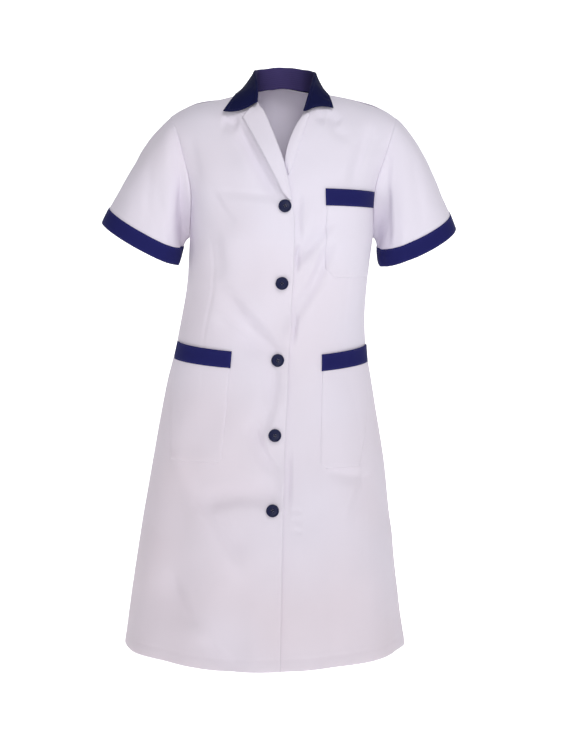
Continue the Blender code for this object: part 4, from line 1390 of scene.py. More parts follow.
@dataclass
class Sleeve:
    """A set-in short sleeve and the cuff band over its end."""

    sizes: SleeveSizes
    columns: int = 150
    rows: int = 66
    cuff_rows: int = 12
    cuff_depth: float = 0.028
    cuff_tuck: float = 0.009
    cuff_wall: float = 0.0012
    cuff_rest: float = 0.0003
    cuff_roll: float = 0.0004
    cuff_roll_wide: float = 0.10
    cuff_stitch_inset: float = 0.08
    gap: tuple[float, float] = (0.0002, 0.0005)
    way_top: Triple = (0.74, 0.30, -0.66)
    way_low: Triple = (0.94, 0.30, -0.36)
    start_run: float = 0.30
    end_run: float = 0.32
    past_start: float = 10.0
    fold_front_ease: float = 0.16
    fold_start_ease: float = 0.12
    flute_ease: float = 0.25
    crumple_ease: float = 0.2
    crumple_round: float = 0.07
    crumple_skew: float = 0.6
    crumple_shift: float = 0.3
    seam_groove: Groove = Groove(0.0004, 0.0030)
    seam_pucker: float = 0.35
    seam_puckers: int = 38
    cut: Cut = Cut(0.430, 0.190, 0.0530)
    cuff_cut: Cut = Cut(0.430, 0.028)
    crumple: Crumple = Crumple(seed=21, height=0.0016, shortest=0.03, longest=0.11)

    def armhole(self, turn: Field) -> Field:
        """The armhole's edge.

        Args:
            turn: 0 at the shoulder tip, a quarter in front, half at the armpit.

        Returns:
            Points on the edge.
        """
        front = turn <= 0.5
        share = np.where(front, 1 - 2 * turn, 2 * turn - 1)
        seam = int(self.sizes.side) * np.ones_like(share)
        ahead = FORM.shell(Face.FRONT, seam, share)
        behind = FORM.shell(Face.BACK, seam, share)
        return np.where(front[..., None], ahead, behind)

    def surface(
        self, turn: Field, back_from_end: Field, out: Field | float = 0.0, folded: bool = True
    ) -> Field:
        """Points of the sleeve.

        Args:
            turn: place round the sleeve.
            back_from_end: metres from the opening.
            out: distance outwards.
            folded: whether the folds are sunk.

        Returns:
            Points in the middle of the cloth.
        """
        sizes, side = self.sizes, int(self.sizes.side)
        turn = turn % 1.0
        angle = 2 * math.pi * turn
        low = (1 - np.cos(angle)) / 2
        outer = np.array([sizes.outer[0], 0, sizes.outer[1]])
        inner = np.array([sizes.inner[0], 0, sizes.inner[1]])
        middle, half = (outer + inner) / 2, (outer - inner) / 2
        forward = np.array([0, -1, -sizes.dip]) * sizes.depth
        end = middle + np.cos(angle)[..., None] * half + np.sin(angle)[..., None] * forward
        axis = unit(np.cross(half, forward))
        axis = axis if axis[2] < 0 else -axis
        way = [top + (bottom - top) * low for top, bottom in zip(self.way_top, self.way_low)]
        lean = unit(np.stack([side * way[0], -way[1] * np.sin(angle), way[2]], -1))
        gap = self.gap[0] + (self.gap[1] - self.gap[0]) * low
        start = self.armhole(turn) + lean * gap[..., None]
        span = np.linalg.norm(end - start, axis=-1)
        first = start + lean * (self.start_run * span)[..., None]
        second = end - axis * (self.end_run * span)[..., None]
        share = np.clip(1 - back_from_end / span, 0, 1)
        t = share[..., None]
        line = (1 - t) ** 3 * start + 3 * t * (1 - t) ** 2 * first + 3 * t * t * (1 - t) * second + t**3 * end
        if folded:
            ahead = eased(np.sin(angle) / self.fold_front_ease) * eased(share / self.fold_start_ease)
            out = out - self.sunk(turn, share, span)
            out = out - sunk_by(sizes.folds, line[..., 0], line[..., 2]) * ahead
        return line + unit(end - middle) * np.broadcast_to(out, turn.shape)[..., None]

    def sunk(self, turn: Field, share: Field, span: Field) -> Field:
        """How far flutes, crumple and seam sink the sleeve.

        Args:
            turn: place round the sleeve.
            share: share from the armhole to the opening.
            span: straight distance between those two.

        Returns:
            Depth at each place, in metres.
        """
        total = np.zeros(turn.shape)
        for flute in self.sizes.flutes.rows():
            away = (turn - flute["turn"] + 0.5) % 1.0 - 0.5
            along = eased((share - flute["start"]) / self.flute_ease)
            along = along * eased((flute["end"] - share) / self.flute_ease)
            total += flute["deep"] * bell(away, flute["wide"]) * along
        around = np.sin(2 * math.pi * turn) * self.crumple_round
        beside = np.cos(2 * math.pi * turn) * self.crumple_round
        place = around + beside * self.crumple_skew + self.crumple_shift * self.sizes.side
        total = total + self.crumple.sunk(place, share * span) * eased(share / self.crumple_ease)
        pucker = 1 + self.seam_pucker * np.sin(turn * 2 * math.pi * self.seam_puckers)
        return total + self.seam_groove.at(share * span) * pucker

    def length(self, turn: Field) -> Field:
        """Straight distance from the armhole to the opening.

        Args:
            turn: place round the sleeve.

        Returns:
            The distance at each place.
        """
        end = self.surface(turn, np.zeros_like(turn), folded=False)
        start = self.surface(turn, np.full_like(turn, self.past_start), folded=False)
        return np.linalg.norm(end - start, axis=-1)

    def sleeve(self, u: Field, v: Field) -> Field:
        """The sleeve from its armhole to just past the cuff's top edge."""
        length = self.length(u)
        return self.surface(u, length + (self.cuff_depth - self.cuff_tuck - length) * v)

    def cuff(self, u: Field, v: Field) -> Field:
        """The cuff band, from its top edge to the opening."""
        roll = self.cuff_roll * (bell(v, self.cuff_roll_wide) + bell(1 - v, self.cuff_roll_wide))
        return self.surface(u, self.cuff_depth * (1 - v), (WALL + self.cuff_wall) / 2 + self.cuff_rest - roll)

    def build(self) -> None:
        """Makes the sleeve, its cuff and the cuff's stitching."""
        name = self.sizes.side.name.lower()
        outward = 1 if self.sizes.side == Side.LEFT else -1
        sleeve = ClothSheet(
            "sleeve_" + name, self.sleeve, self.columns, self.rows, self.cut, WHITE_CLOTH,
            "white_sleeve_" + name, tube=True, outward=outward,
        )
        cuff = ClothSheet(
            "cuff_" + name, self.cuff, self.columns, self.cuff_rows, self.cuff_cut, NAVY_CLOTH,
            "navy_cuff_" + name, tube=True, wall=self.cuff_wall, outward=outward,
        )
        sleeve.build()
        cuff.build()
        inset = self.cuff_stitch_inset
        rows = [row_on(cuff, (0.0, 1.0), share, 400) for share in (inset, 1 - inset)]
        SEWING.sew_on(cuff, rows, NAVY_THREAD)


COLLAR_ROWS = Table(
    "station neck roll_x roll_y roll_z face edge_x edge_z droop sag clear",
    (0, 0.000, -0.0520, -0.0790, -0.0250, -1, -0.1049, -0.0420, 0.0060, 0.0000, 0.0062),
    (1, 0.069, -0.0495, -0.0600, 0.0000, -1, -0.0939, -0.0283, 0.0015, 0.0000, 0.0068),
    (2, 0.162, -0.0500, -0.0290, 0.0200, -1, -0.0827, -0.0142, 0.0020, 0.0020, 0.0056),
    (3, 0.274, -0.0495, 0.0060, 0.0318, 1, -0.0800, -0.0125, 0.0010, 0.0060, 0.0058),
    (4, 0.387, -0.0390, 0.0420, 0.0360, 1, -0.0640, -0.0185, -0.0020, 0.0020, 0.0066),
    (5, 0.490, 0.0000, 0.0590, 0.0408, 1, 0.0000, -0.0080, 0.0000, 0.0000, 0.0062),
    (6, 0.593, 0.0400, 0.0420, 0.0357, 1, 0.0610, -0.0195, -0.0020, 0.0010, 0.0066),
    (7, 0.706, 0.0535, 0.0060, 0.0290, 1, 0.0735, -0.0110, 0.0010, 0.0020, 0.0058),
    (8, 0.818, 0.0475, -0.0300, 0.0150, -1, 0.0724, -0.0152, 0.0010, 0.0010, 0.0056),
    (9, 0.912, 0.0395, -0.0620, -0.0080, -1, 0.0746, -0.0265, 0.0000, 0.0000, 0.0068),
    (10, 1.000, 0.0295, -0.0840, -0.0385, -1, 0.0772, -0.0370, -0.0050, 0.0000, 0.0062),
)
COLLAR_WAVES = Table("high rate_u start_u rate_v start_v", (0.0005, 41, 1.3, 9, 0), (0.0004, 83, 0, 14, 2))


@dataclass
class Collar:
    """The notched collar: stand, roll and leaf in one piece of stiffened cloth."""

    ends: tuple[float, float] = (-0.0245, -0.0365)
    clear: float = 0.0018
    roll: float = 0.0026
    stand_share: float = 0.25
    roll_share: float = 0.50
    droop_way: Triple = (0.0, -0.7, -2.0)
    # Where the stand's inner face is painted paler, as if lit, and how that painted light fades round the
    # curved sides as painted shade
    inner_end: float = 0.39
    inner_fade: float = 0.08
    painted_light_least: float = 0.12
    painted_light_middle: float = 0.49
    painted_light_wide: float = 0.17
    stitch_line: float = 0.93
    stitch_from: float = 0.60
    stitch_inset: float = 0.012
    stitch_groove: Groove = Groove(0.0003, 0.012)
    wall: float = 0.0014
    columns: int = 190
    rows: int = 44
    seam_points: int = 200
    cut: Cut = Cut(0.520, 0.100, 0.0325)
    stations: Table = field(init=False)

    def __post_init__(self) -> None:
        """Finds each station's place on the neck seam and its leaf's outer edge."""
        line = self.neck_line()
        rows = []
        for row in COLLAR_ROWS.rows():
            place = row["neck"] * (len(line) - 1)
            seam = read_along(line, np.arange(len(line)), place)
            face = Face(int(row["face"]))
            girth, rise = FORM.place_on_front(row["edge_x"], row["edge_z"])
            edge = FORM.shell(face, girth, rise) + FORM.normals(face, girth, rise) * row["clear"]
            rows.append((row["station"], *seam, *edge))
        self.stations = Table("station seam_x seam_y seam_z edge_x edge_y edge_z", *rows)

    def neck_line(self) -> Field:
        """The neck seam, from the right end to the left one.

        Returns:
            Points at even shares of its length.
        """
        steps = np.linspace(0, 1, 60)
        fronts = []
        for side, end in zip((Side.RIGHT, Side.LEFT), self.ends):
            z = end + (FRONT_EDGES.along[-1] - end) * steps
            front = FORM.on_front(side, FRONT_EDGES.at(side.name.lower(), z), z)
            fronts.append(front[front[:, 1] < 0])
        back = FORM.shell(Face.BACK, (2 * steps - 1) * NECK_GIRTH, np.ones_like(steps))
        points = np.concatenate([fronts[0], back, fronts[1][::-1]])
        run = run_of(points)
        return read_along(points, run, np.linspace(0, run[-1], self.seam_points))

    def surface(self, u: Field, v: Field) -> Field:
        """Points of the collar.

        Args:
            u: share from the wearer's right front end, round the back, to the left one.
            v: share from the neck seam over the roll to the leaf's outer edge.

        Returns:
            Points in the middle of the cloth.
        """
        station = u * COLLAR_ROWS.along[-1]
        seam = np.stack([self.stations.at(name, station) for name in ("seam_x", "seam_y", "seam_z")], -1)
        edge = np.stack([self.stations.at(name, station) for name in ("edge_x", "edge_y", "edge_z")], -1)
        roll = np.stack([COLLAR_ROWS.at(name, station) for name in ("roll_x", "roll_y", "roll_z")], -1)
        droop = COLLAR_ROWS.at("droop", station)[..., None]
        sag = COLLAR_ROWS.at("sag", station)[..., None]
        outward = unit(edge - seam)
        top = roll - (seam + edge) / 2
        top = unit(top - outward * np.sum(top * outward, axis=-1, keepdims=True))
        centre = roll - top * self.roll
        inside, outside = centre - outward * self.roll, centre + outward * self.roll
        seam = seam + unit(inside - seam) * self.clear
        t = v[..., None]
        rising = np.clip(t / self.stand_share, 0, 1)
        over = np.clip((t - self.stand_share) / (self.roll_share - self.stand_share), 0, 1) * math.pi
        falling = np.clip((t - self.roll_share) / (1 - self.roll_share), 0, 1)
        stand = seam + (inside - seam) * rising
        bend = centre - outward * self.roll * np.cos(over) + top * self.roll * np.sin(over)
        control = (outside + edge) / 2 + np.array(self.droop_way) * droop - top * sag
        leaf = (1 - falling) ** 2 * outside + 2 * falling * (1 - falling) * control + falling**2 * edge
        laid = np.where(t < self.stand_share, stand, np.where(t < self.roll_share, bend, leaf))
        raised = -self.stitch_groove.at(v - self.stitch_line)
        for wave in COLLAR_WAVES.rows():
            across = np.sin(u * wave["rate_u"] + wave["start_u"])
            raised = raised + wave["high"] * across * np.sin(v * wave["rate_v"] + wave["start_v"])
        return laid + top * raised[..., None]

    def painted_light_face(self, u: Field, v: Field) -> Field:
        """How much painted light a place gets: the stand's inner face is painted paler, as if lit, and fades
        round its curved sides as painted shade.
        """
        middle = self.painted_light_least + (1 - self.painted_light_least) * bell(u - self.painted_light_middle, self.painted_light_wide)
        return eased((self.inner_end - v) / self.inner_fade) * middle

    def build(self) -> None:
        """Makes the collar and the stitching round its leaf."""
        sheet = ClothSheet(
            "collar", self.surface, self.columns, self.rows, self.cut, COLLAR_CLOTH,
            "navy_collar", held=Hold.FOLDED, wall=self.wall, outward=1, inner=self.painted_light_face,
        )
        sheet.build()
        ends = (self.stitch_inset, 1 - self.stitch_inset)
        rows = [row_on(sheet, ends, self.stitch_line, 900)]
        rows += [row_on(sheet, end, (self.stitch_from, self.stitch_line), 120) for end in ends]
        SEWING.sew_on(sheet, rows, NAVY_THREAD)


LAPEL_COLUMNS = "row roll_x roll_z edge_x edge_z lift"


@dataclass(frozen=True)
class LapelSizes:
    """One lapel: its side, its rows from top to bottom, and its cut."""

    side: Side
    rows: Table
    cut: Cut


LAPELS = (
    LapelSizes(Side.RIGHT, Table(
        LAPEL_COLUMNS,
        (0, -0.0510, -0.0290, -0.0738, -0.0505, 0.0032),
        (1, -0.0405, -0.0420, -0.0615, -0.0735, 0.0044),
        (2, -0.0300, -0.0690, -0.0500, -0.0960, 0.0054),
        (3, -0.0200, -0.0970, -0.0370, -0.1215, 0.0058),
        (4, -0.0105, -0.1260, -0.0240, -0.1470, 0.0056),
        (5, -0.0030, -0.1580, -0.0110, -0.1725, 0.0044),
        (6, 0.0030, -0.1850, 0.0012, -0.1880, 0.0016),
    ), Cut(0.045, 0.170, 0.0048)),
    LapelSizes(Side.LEFT, Table(
        LAPEL_COLUMNS,
        (0, 0.0310, -0.0420, 0.0375, -0.0450, 0.0022),
        (1, 0.0190, -0.0560, 0.0300, -0.0610, 0.0024),
        (2, 0.0080, -0.0760, 0.0215, -0.0860, 0.0024),
        (3, -0.0010, -0.1000, 0.0125, -0.1080, 0.0022),
        (4, -0.0050, -0.1225, 0.0060, -0.1270, 0.0020),
        (5, -0.0012, -0.1400, -0.0004, -0.1450, 0.0012),
    ), Cut(0.022, 0.110, 0.0018)),
)


@dataclass
class Lapel:
    """The turned-out upper corner of a front, rolled at its inner edge."""

    sizes: LapelSizes
    roll_share: float = 0.22
    puff: float = 0.0012
    edge_press: float = 0.0006
    beside_step: float = 0.002
    stitch_line: float = 0.90
    stitch_inset: float = 0.03
    stitch_from: float = 0.30
    columns: int = 26
    rows: int = 96
    wall: float = 0.0010

    def surface(self, u: Field, v: Field) -> Field:
        """Points of the lapel.

        Args:
            u: share from the front's edge, over the roll, to the outer edge.
            v: share from the notch down.

        Returns:
            Points in the middle of the cloth.
        """
        side, table = self.sizes.side, self.sizes.rows
        row = v * table.along[-1]
        lift = table.at("lift", row)
        across = np.clip((u - self.roll_share) / (1 - self.roll_share), 0, 1)
        x = table.at("roll_x", row) + (table.at("edge_x", row) - table.at("roll_x", row)) * across
        z = table.at("roll_z", row) + (table.at("edge_z", row) - table.at("roll_z", row)) * across
        over = np.clip(u / self.roll_share, 0, 1) * math.pi
        puff = self.puff * np.sin(math.pi * across)
        stand = lift * (1 - np.cos(over)) / 2 + puff - self.edge_press * across**4
        laid = FORM.on_front(side, x, z, stand)
        beside = FORM.on_front(side, x - int(side) * self.beside_step, z, stand)
        return laid + unit(beside - laid) * (lift / 2 * np.sin(over))[..., None]

    def build(self) -> None:
        """Makes the lapel and the stitching along its outer edge."""
        name = self.sizes.side.name.lower()
        sheet = ClothSheet(
            "lapel_" + name, self.surface, self.columns, self.rows, self.sizes.cut, WHITE_CLOTH,
            "white_lapel_" + name, held=Hold.FOLDED, wall=self.wall, outward=int(self.sizes.side),
            rests_on=("front_" + name + "_cloth",),
        )
        sheet.build()
        down = row_on(sheet, self.stitch_line, (self.stitch_inset, 1 - self.stitch_inset), 400)
        across = row_on(sheet, (self.stitch_from, self.stitch_line), self.stitch_inset, 80)
        SEWING.sew_on(sheet, [down, across], WHITE_THREAD)


@dataclass(frozen=True)
class PocketSizes:
    """A patch pocket: top heights at its two ends, places of its edges, lower edge and cut corner."""

    name: str
    side: Side
    top: float
    outer_top: float
    inner: float
    low_inner: float
    outer: float
    low_outer: float
    bottom: float
    corner: float
    cut: Cut
    band_cut: Cut


POCKETS = (
    PocketSizes("chest", Side.LEFT, -0.1668, -0.1730, 0.0715, 0.0740, 0.92, 0.84, -0.3150, 0.014,
                Cut(0.108, 0.145, 0.0146), Cut(0.102, 0.028)),
    PocketSizes("hip_right", Side.RIGHT, -0.4370, -0.4260, 0.0785, 0.0865, 0.89, 0.64, -0.6220, 0.007,
                Cut(0.168, 0.190, 0.0270), Cut(0.172, 0.028)),
    PocketSizes("hip_left", Side.LEFT, -0.4430, -0.4325, 0.0745, 0.0800, 0.88, 0.53, -0.6330, 0.010,
                Cut(0.160, 0.190, 0.0255), Cut(0.164, 0.028)),
)


@dataclass
class Pocket:
    """A patch pocket and the band across its top, laid on the front's own cloth."""

    sizes: PocketSizes
    columns: int = 66
    rows: int = 74
    band_rows: int = 14
    tuck: float = 0.003
    bag: float = 0.0022
    band_depth: float = 0.028
    band_proud: float = 0.0012
    nominal_width: float = 0.100
    wall: float = 0.0009
    band_wall: float = 0.0011
    rest: float = 0.0002
    sunk_edge: float = 0.0004
    side_inset: float = 0.02
    low_inset: float = 0.015
    side_wide: float = 0.012
    low_wide: float = 0.010
    stitch_deep: float = 0.0003
    bag_least: float = 0.35
    bag_powers: tuple[float, float] = (0.8, 1.4)
    band_roll: float = 0.0004
    band_roll_wide: tuple[float, float] = (0.01, 0.08)
    band_stitch: tuple[float, float] = (0.015, 0.09)

    def frame(self, u: Field, v: Field, top_z: float, bottom_z: float) -> tuple[Field, Field]:
        """Girth and rise of a place on the pocket.

        Args:
            u: share from the inner to the outer edge.
            v: share from the top to the bottom.
            top_z: height of the top at the inner edge.
            bottom_z: height of the bottom.

        Returns:
            Girth and rise on the front.
        """
        sizes, side = self.sizes, int(self.sizes.side)
        level = top_z + (bottom_z - top_z) * v
        depth = np.clip((sizes.top - level) / (sizes.top - sizes.bottom), 0, 1)
        z = level + (sizes.outer_top - sizes.top) * u * (1 - depth)
        inner = sizes.inner + (sizes.low_inner - sizes.inner) * depth
        cut = np.clip(1 - (z - sizes.bottom) / sizes.corner, 0, 1) * sizes.corner
        closure = SECTIONS.at("closure", np.minimum(z, ARMPIT_Z))
        girth = FORM.place_on_front(closure + side * (inner + cut), z)[0]
        outer = sizes.outer + (sizes.low_outer - sizes.outer) * depth
        girth = girth + (side * outer - girth) * u
        return girth, FORM.rise_at(girth, z)

    def pressed(self, u: Field, v: Field) -> Field:
        """How far the pocket bags out, flat at its sewn edges and full at its mouth.

        Args:
            u: share from the inner to the outer edge.
            v: share from the top to the bottom.

        Returns:
            Distance outwards, in metres.
        """
        across = np.clip(np.sin(math.pi * u), 0, 1) ** self.bag_powers[0]
        down = np.sin(math.pi * np.clip(1 - v, 0, 1) ** self.bag_powers[1])
        return self.bag * across * (self.bag_least + (1 - self.bag_least) * down) * eased(4 * (1 - v))

    def on_panel(self, girth: Field, rise: Field, out: Field) -> Field:
        """Points at a distance out from the middle of the front's own cloth."""
        x, _, z = np.moveaxis(FORM.shell(Face.FRONT, girth, rise), -1, 0)
        return FORM.cloth(Face.FRONT, girth, rise, out + FORM.lap(self.sizes.side, x, z))

    def surface(self, u: Field, v: Field) -> Field:
        """The pocket's cloth.

        Args:
            u: share from the inner to the outer edge.
            v: share from the top to the bottom.

        Returns:
            Points in the middle of the cloth.
        """
        girth, rise = self.frame(u, v, self.sizes.top - self.tuck, self.sizes.bottom)
        sides = bell(u - self.side_inset, self.side_wide) + bell(u - (1 - self.side_inset), self.side_wide)
        sewn = self.stitch_deep * (sides + bell(v - (1 - self.low_inset), self.low_wide))
        near = np.maximum(bell(u, self.side_wide), bell(1 - u, self.side_wide)) * (v > self.side_inset)
        sewn = sewn + self.sunk_edge * np.maximum(near, bell(1 - v, self.low_wide))
        return self.on_panel(girth, rise, (WALL + self.wall) / 2 + self.rest + self.pressed(u, v) - sewn)

    def band(self, u: Field, v: Field) -> Field:
        """The band over the pocket's top edge.

        Args:
            u: share from the inner to the outer end.
            v: share from the top to the lower edge.

        Returns:
            Points in the middle of the cloth.
        """
        u = 0.5 + (u - 0.5) * (1 + 2 * self.band_proud / self.nominal_width)
        top = self.sizes.top
        girth, rise = self.frame(u, v, top, top - self.band_depth)
        reach = (self.band_depth * v + self.tuck) / (top - self.tuck - self.sizes.bottom)
        end_wide, edge_wide = self.band_roll_wide
        edges = bell(v, edge_wide) + bell(1 - v, edge_wide)
        roll = self.band_roll * (edges + bell(u, end_wide) + bell(1 - u, end_wide))
        out = WALL / 2 + self.wall + self.band_wall / 2 + 2 * self.rest
        return self.on_panel(girth, rise, out + self.pressed(np.clip(u, 0, 1), reach) - roll)

    def build(self) -> None:
        """Makes the pocket, its band and their stitching."""
        name, side = self.sizes.name, self.sizes.side
        front = "front_" + side.name.lower() + "_cloth"
        outward = -int(side)
        cloth = ClothSheet(
            "pocket_" + name, self.surface, self.columns, self.rows, self.sizes.cut, WHITE_CLOTH,
            "white_pocket_" + name, held=Hold.LAID, wall=self.wall, outward=outward,
            rests_on=(front,), edge_reach=0.002, thin_edge=0.3,
        )
        band = ClothSheet(
            "band_" + name, self.band, self.columns, self.band_rows, self.sizes.band_cut, NAVY_CLOTH,
            "navy_band_" + name, held=Hold.LAID, wall=self.band_wall, outward=outward,
            rests_on=("pocket_" + name + "_cloth",),
        )
        cloth.build()
        band.build()
        top, bottom = self.band_depth / (self.sizes.top - self.sizes.bottom), 1 - self.low_inset
        ends = (self.side_inset, 1 - self.side_inset)
        rows = [row_on(cloth, end, (top, bottom), 200) for end in ends]
        SEWING.sew_on(cloth, rows + [row_on(cloth, ends, bottom, 200)], WHITE_THREAD)
        band_ends, band_edges = ((inset, 1 - inset) for inset in self.band_stitch)
        rows = [row_on(band, ends, edge, 200) for edge in band_edges]
        rows += [row_on(band, end, band_edges, 40) for end in band_ends]
        SEWING.sew_on(band, rows, NAVY_THREAD)


@dataclass
class Button:
    """A turned four-hole button, its sewing and the buttonhole behind it."""

    number: int
    height: float
    radius: float = 0.0108
    depth: float = 0.0034
    rim: float = 0.0026
    dish: float = 0.0009
    hole: float = 0.0009
    hole_place: float = 0.0019
    steps: int = 56
    seat: float = 0.0006
    turned_by: float = 23.0
    drill_sides: int = 14
    sharp_angle: float = 35.0
    bar_apart: float = 0.00022
    bar_reach: float = 1.35
    bar_half: tuple[float, float] = (0.00026, 0.00050)
    bar_proud: float = 0.0001
    buttonhole: float = 0.0125
    buttonhole_half: float = 0.0011
    buttonhole_sewing: Sewing = Sewing(length=0.0016, pitch=0.0006, thick=0.00040)

    def middle_x(self) -> float:
        """x of the button's middle: on the closure, with the top button a little aside."""
        shift = TOP_BUTTON_SHIFT if self.height > ARMPIT_Z else 0.0
        return SECTIONS.at("closure", min(self.height, ARMPIT_Z)) + shift

    def seated(self) -> Matrix:
        """Finds where the button lies.

        Returns:
            Its place, with its axis out of the cloth.
        """
        x = self.middle_x()
        girth, rise = FORM.place_on_front(x, self.height)
        middle = CAD_WALL / 2 + self.seat + self.depth / 2
        at = Vector(FORM.on_front(Side.RIGHT, x, self.height, middle))
        facing = Vector(FORM.normals(Face.FRONT, girth, rise))
        turn = facing.to_track_quat("Z", "Y").to_matrix().to_4x4()
        spin = Matrix.Rotation(math.radians(self.turned_by * self.number), 4, "Z")
        return Matrix.Translation(at) @ turn @ spin

    def disc(self) -> bmesh.types.BMesh:
        """Spins the turned body from its profile.

        Returns:
            The body's mesh, lying flat at the origin.
        """
        half = self.depth / 2
        profile = (
            (0.0, -half),
            (self.radius * 0.82, -half),
            (self.radius * 0.95, -half * 0.6),
            (self.radius, -half * 0.1),
            (self.radius * 0.985, half * 0.55),
            (self.radius * 0.95, half * 0.88),
            (self.radius - self.rim * 0.45, half),
            (self.radius - self.rim * 0.75, half * 0.90),
            (self.radius - self.rim, half - self.dish * 0.75),
            (self.radius - self.rim * 1.35, half - self.dish),
            (0.0, half - self.dish * 1.1),
        )
        bm = bmesh.new()
        verts = [bm.verts.new((across, 0, level)) for across, level in profile]
        edges = [bm.edges.new(pair) for pair in zip(verts, verts[1:])]
        bmesh.ops.spin(bm, geom=verts + edges, cent=(0, 0, 0), axis=(0, 0, 1), angle=2 * math.pi,
                       steps=self.steps, use_merge=True, use_duplicate=False)
        bmesh.ops.remove_doubles(bm, verts=bm.verts, dist=MERGE_REACH)
        bmesh.ops.recalc_face_normals(bm, faces=bm.faces)
        return bm

    def drill(self, obj: bpy.types.Object) -> None:
        """Cuts the four holes.

        Args:
            obj: the turned body.
        """
        bm = bmesh.new()
        for quarter in range(4):
            angle = math.radians(45 + 90 * quarter)
            at = Vector((math.cos(angle), math.sin(angle), 0)) * self.hole_place
            bmesh.ops.create_cone(bm, cap_ends=True, segments=self.drill_sides, radius1=self.hole,
                                  radius2=self.hole, depth=self.depth * 2, matrix=Matrix.Translation(at))
        drills = keep_mesh(bm, "drills", BUTTON_PLASTIC.material("drills"))
        cut = obj.modifiers.new("holes", "BOOLEAN")
        cut.operation = "DIFFERENCE"
        cut.solver = "EXACT"
        cut.object = drills
        bpy.context.view_layer.update()
        graph = bpy.context.evaluated_depsgraph_get()
        mesh = bpy.data.meshes.new_from_object(obj.evaluated_get(graph))
        obj.modifiers.clear()
        obj.data = mesh
        mesh.set_sharp_from_angle(angle=math.radians(self.sharp_angle))
        bpy.data.objects.remove(drills)

    def thread(self) -> bmesh.types.BMesh:
        """Lays two bars of double thread between the holes.

        Returns:
            Their mesh, on the body that lies at the origin.
        """
        bm = bmesh.new()
        reach = self.hole_place / math.sqrt(2)
        level = self.depth / 2 - self.dish + self.bar_proud
        scale = Matrix.Diagonal((reach * self.bar_reach, *self.bar_half, 1.0))
        for side in (-1, 1):
            for shift in (-self.bar_apart, self.bar_apart):
                place = Matrix.Translation((0, side * reach + shift, level))
                bmesh.ops.create_uvsphere(bm, u_segments=10, v_segments=8, radius=1.0, matrix=place @ scale)
        return bm

    def hole_edge(self) -> bmesh.types.BMesh:
        """Stitches the buttonhole's edge, a long upright oval on the over front.

        Returns:
            The mesh of its crosswise stitches.
        """
        around = np.linspace(0, 2 * math.pi, 120)
        x = self.middle_x() + self.buttonhole_half * np.cos(around)
        z = self.height + self.buttonhole * np.sin(around)
        points = FORM.on_front(Side.RIGHT, x, z, WALL / 2)
        girth, rise = FORM.place_on_front(x, z)
        facing = FORM.normals(Face.FRONT, girth, rise)
        return self.buttonhole_sewing.beads(points, facing, crosswise=True)

    def build(self) -> None:
        """Makes the button, its thread and its buttonhole."""
        name = f"button_{self.number}"
        seated = self.seated()
        obj = keep_mesh(self.disc(), name + "_turned", BUTTON_PLASTIC.material(name + "_turned"))
        self.drill(obj)
        obj.data.transform(seated)
        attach(obj, BODY)
        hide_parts(name)
        bars = keep_mesh(self.thread(), name + "_thread", BUTTON_THREAD.material(name + "_thread"))
        bars.data.transform(seated)
        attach(bars, BODY)
        SEWING.sew(name + "_hole", [self.hole_edge()], WHITE_THREAD)
        LOG.info("%s at %.3f m", name, self.height)


@dataclass(frozen=True)
class Lamp:
    """A soft square lamp: its name, place, side and power."""

    name: str
    at: Triple
    size: float
    watts: float


LAMPS = (
    Lamp("high", (0.4, -1.3, 1.1), 0.8, 13.5),
    Lamp("front", (-0.25, -3.1, 0.12), 0.8, 19.5),
    Lamp("side", (2.4, -1.5, 0.2), 2.0, 6.5),
    Lamp("left", (-2.2, -1.0, 0.8), 2.0, 5.0),
)


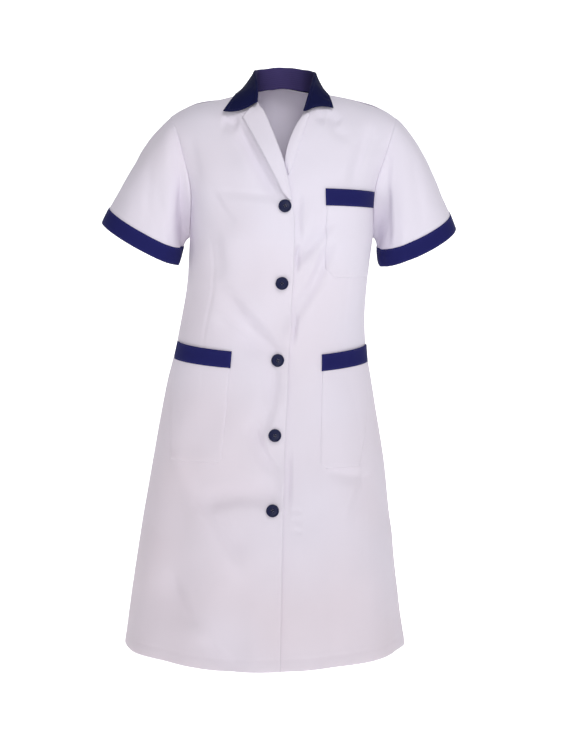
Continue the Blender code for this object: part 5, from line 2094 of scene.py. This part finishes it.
@dataclass
class Studio:
    """A plain pale sweep, soft lights and the photograph's viewpoint."""

    floor_z: float = -1.45
    half: float = 7.0
    wall_height: float = 7.0
    wall_y: float = 4.5
    cove: float = 1.6
    cove_segments: int = 28
    pale: float = 0.82
    mottle: float = 0.02
    roughness: float = 0.9
    glow_from: float = 0.2
    glow_to: float = 1.6
    glow_near: float = 0.67
    room: float = 0.17
    azimuth: float = -4.0
    tilt: float = 5.77
    lens: float = 88.6
    sensor: float = 36.0
    viewpoint: Triple = (-0.2241, -3.1921, -0.1694)
    target: Triple = (0.0, 0.0, -0.45)

    def sweep(self) -> None:
        """Makes the floor and the backdrop as one sheet with a rounded corner."""
        bm = bmesh.new()
        bmesh.ops.create_grid(bm, x_segments=1, y_segments=1, size=self.half)
        bmesh.ops.translate(bm, verts=bm.verts, vec=(0, self.wall_y - self.half, self.floor_z))
        far = [edge for edge in bm.edges if all(vert.co.y > self.wall_y - 0.01 for vert in edge.verts)]
        raised = bmesh.ops.extrude_edge_only(bm, edges=far)
        top = [item for item in raised["geom"] if isinstance(item, bmesh.types.BMVert)]
        bmesh.ops.translate(bm, verts=top, vec=(0, 0, self.wall_height))
        corner = [edge for edge in bm.edges if len(edge.link_faces) == 2]
        bmesh.ops.bevel(bm, geom=corner, offset=self.cove, offset_type="OFFSET", affect="EDGES",
                        segments=self.cove_segments, profile=0.5, material=-1)
        keep_mesh(bm, "sweep", self.sweep_material())

    def sweep_material(self) -> bpy.types.Material:
        """Makes the pale, softly glowing paper of the sweep.

        Returns:
            The material.
        """
        white = (1.0, 1.0, 1.0)
        bench = MaterialBench("pale sweep", white)
        place = bench.place()
        tint = bench.math("MULTIPLY_ADD", bench.noise(place, 0.8, 2.0), self.mottle, self.pale)
        far = bench.parts(place)[1]
        fade = {"Value": far, 1: self.glow_from, 2: self.glow_to, 3: self.glow_near, 4: 1.0}
        glow = bench.add("ShaderNodeMapRange", fade, interpolation_type="SMOOTHSTEP").outputs[0]
        return bench.finish({
            "Base Color": bench.scaled(white, tint),
            "Roughness": self.roughness,
            "Emission Color": (*white, 1.0),
            "Emission Strength": glow,
        })

    def light(self, lamp: Lamp) -> None:
        """Hangs one lamp so that it looks at the tunic.

        Args:
            lamp: its sizes.
        """
        data = bpy.data.lights.new(lamp.name, "AREA")
        data.shape = "SQUARE"
        data.size = lamp.size
        data.energy = lamp.watts
        hung = bpy.data.objects.new(lamp.name, data)
        bpy.context.scene.collection.objects.link(hung)
        hung.location = lamp.at
        hung.rotation_mode = "QUATERNION"
        hung.rotation_quaternion = (Vector(lamp.at) - Vector(self.target)).to_track_quat("Z", "Y")

    def world(self) -> None:
        """Fills the room with even light."""
        world = bpy.data.worlds.new("room")
        bpy.context.scene.world = world
        world.use_nodes = True
        background = world.node_tree.nodes["Background"]
        background.inputs["Color"].default_value = (1.0, 1.0, 1.0, 1.0)
        background.inputs["Strength"].default_value = self.room

    def camera(self) -> None:
        """Places the camera at the photograph's viewpoint."""
        data = bpy.data.cameras.new("view")
        data.lens = self.lens
        data.sensor_width = self.sensor
        data.sensor_fit = "AUTO"
        camera = bpy.data.objects.new("view", data)
        bpy.context.scene.collection.objects.link(camera)
        azimuth, tilt = math.radians(self.azimuth), math.radians(self.tilt)
        level = math.cos(tilt)
        back = Vector((math.sin(azimuth) * level, -math.cos(azimuth) * level, math.sin(tilt)))
        camera.location = self.viewpoint
        camera.rotation_mode = "QUATERNION"
        camera.rotation_quaternion = back.to_track_quat("Z", "Y")
        bpy.context.scene.camera = camera

    def build(self) -> None:
        """Sets up the sweep, the lights and the camera."""
        self.sweep()
        self.world()
        for lamp in LAMPS:
            self.light(lamp)
        self.camera()
        bpy.context.scene.view_settings.view_transform = "Standard"


def main() -> None:
    """Builds every piece in order."""
    logging.basicConfig(level=logging.INFO, format="%(message)s")
    BodyPanels().build()
    for sizes in SLEEVES:
        Sleeve(sizes).build()
    Collar().build()
    for sizes in LAPELS:
        Lapel(sizes).build()
    for sizes in POCKETS:
        Pocket(sizes).build()
    for number, height in enumerate(BUTTON_HEIGHTS, 1):
        Button(number, height).build()
    Studio().build()


if __name__ == "__main__":
    main()
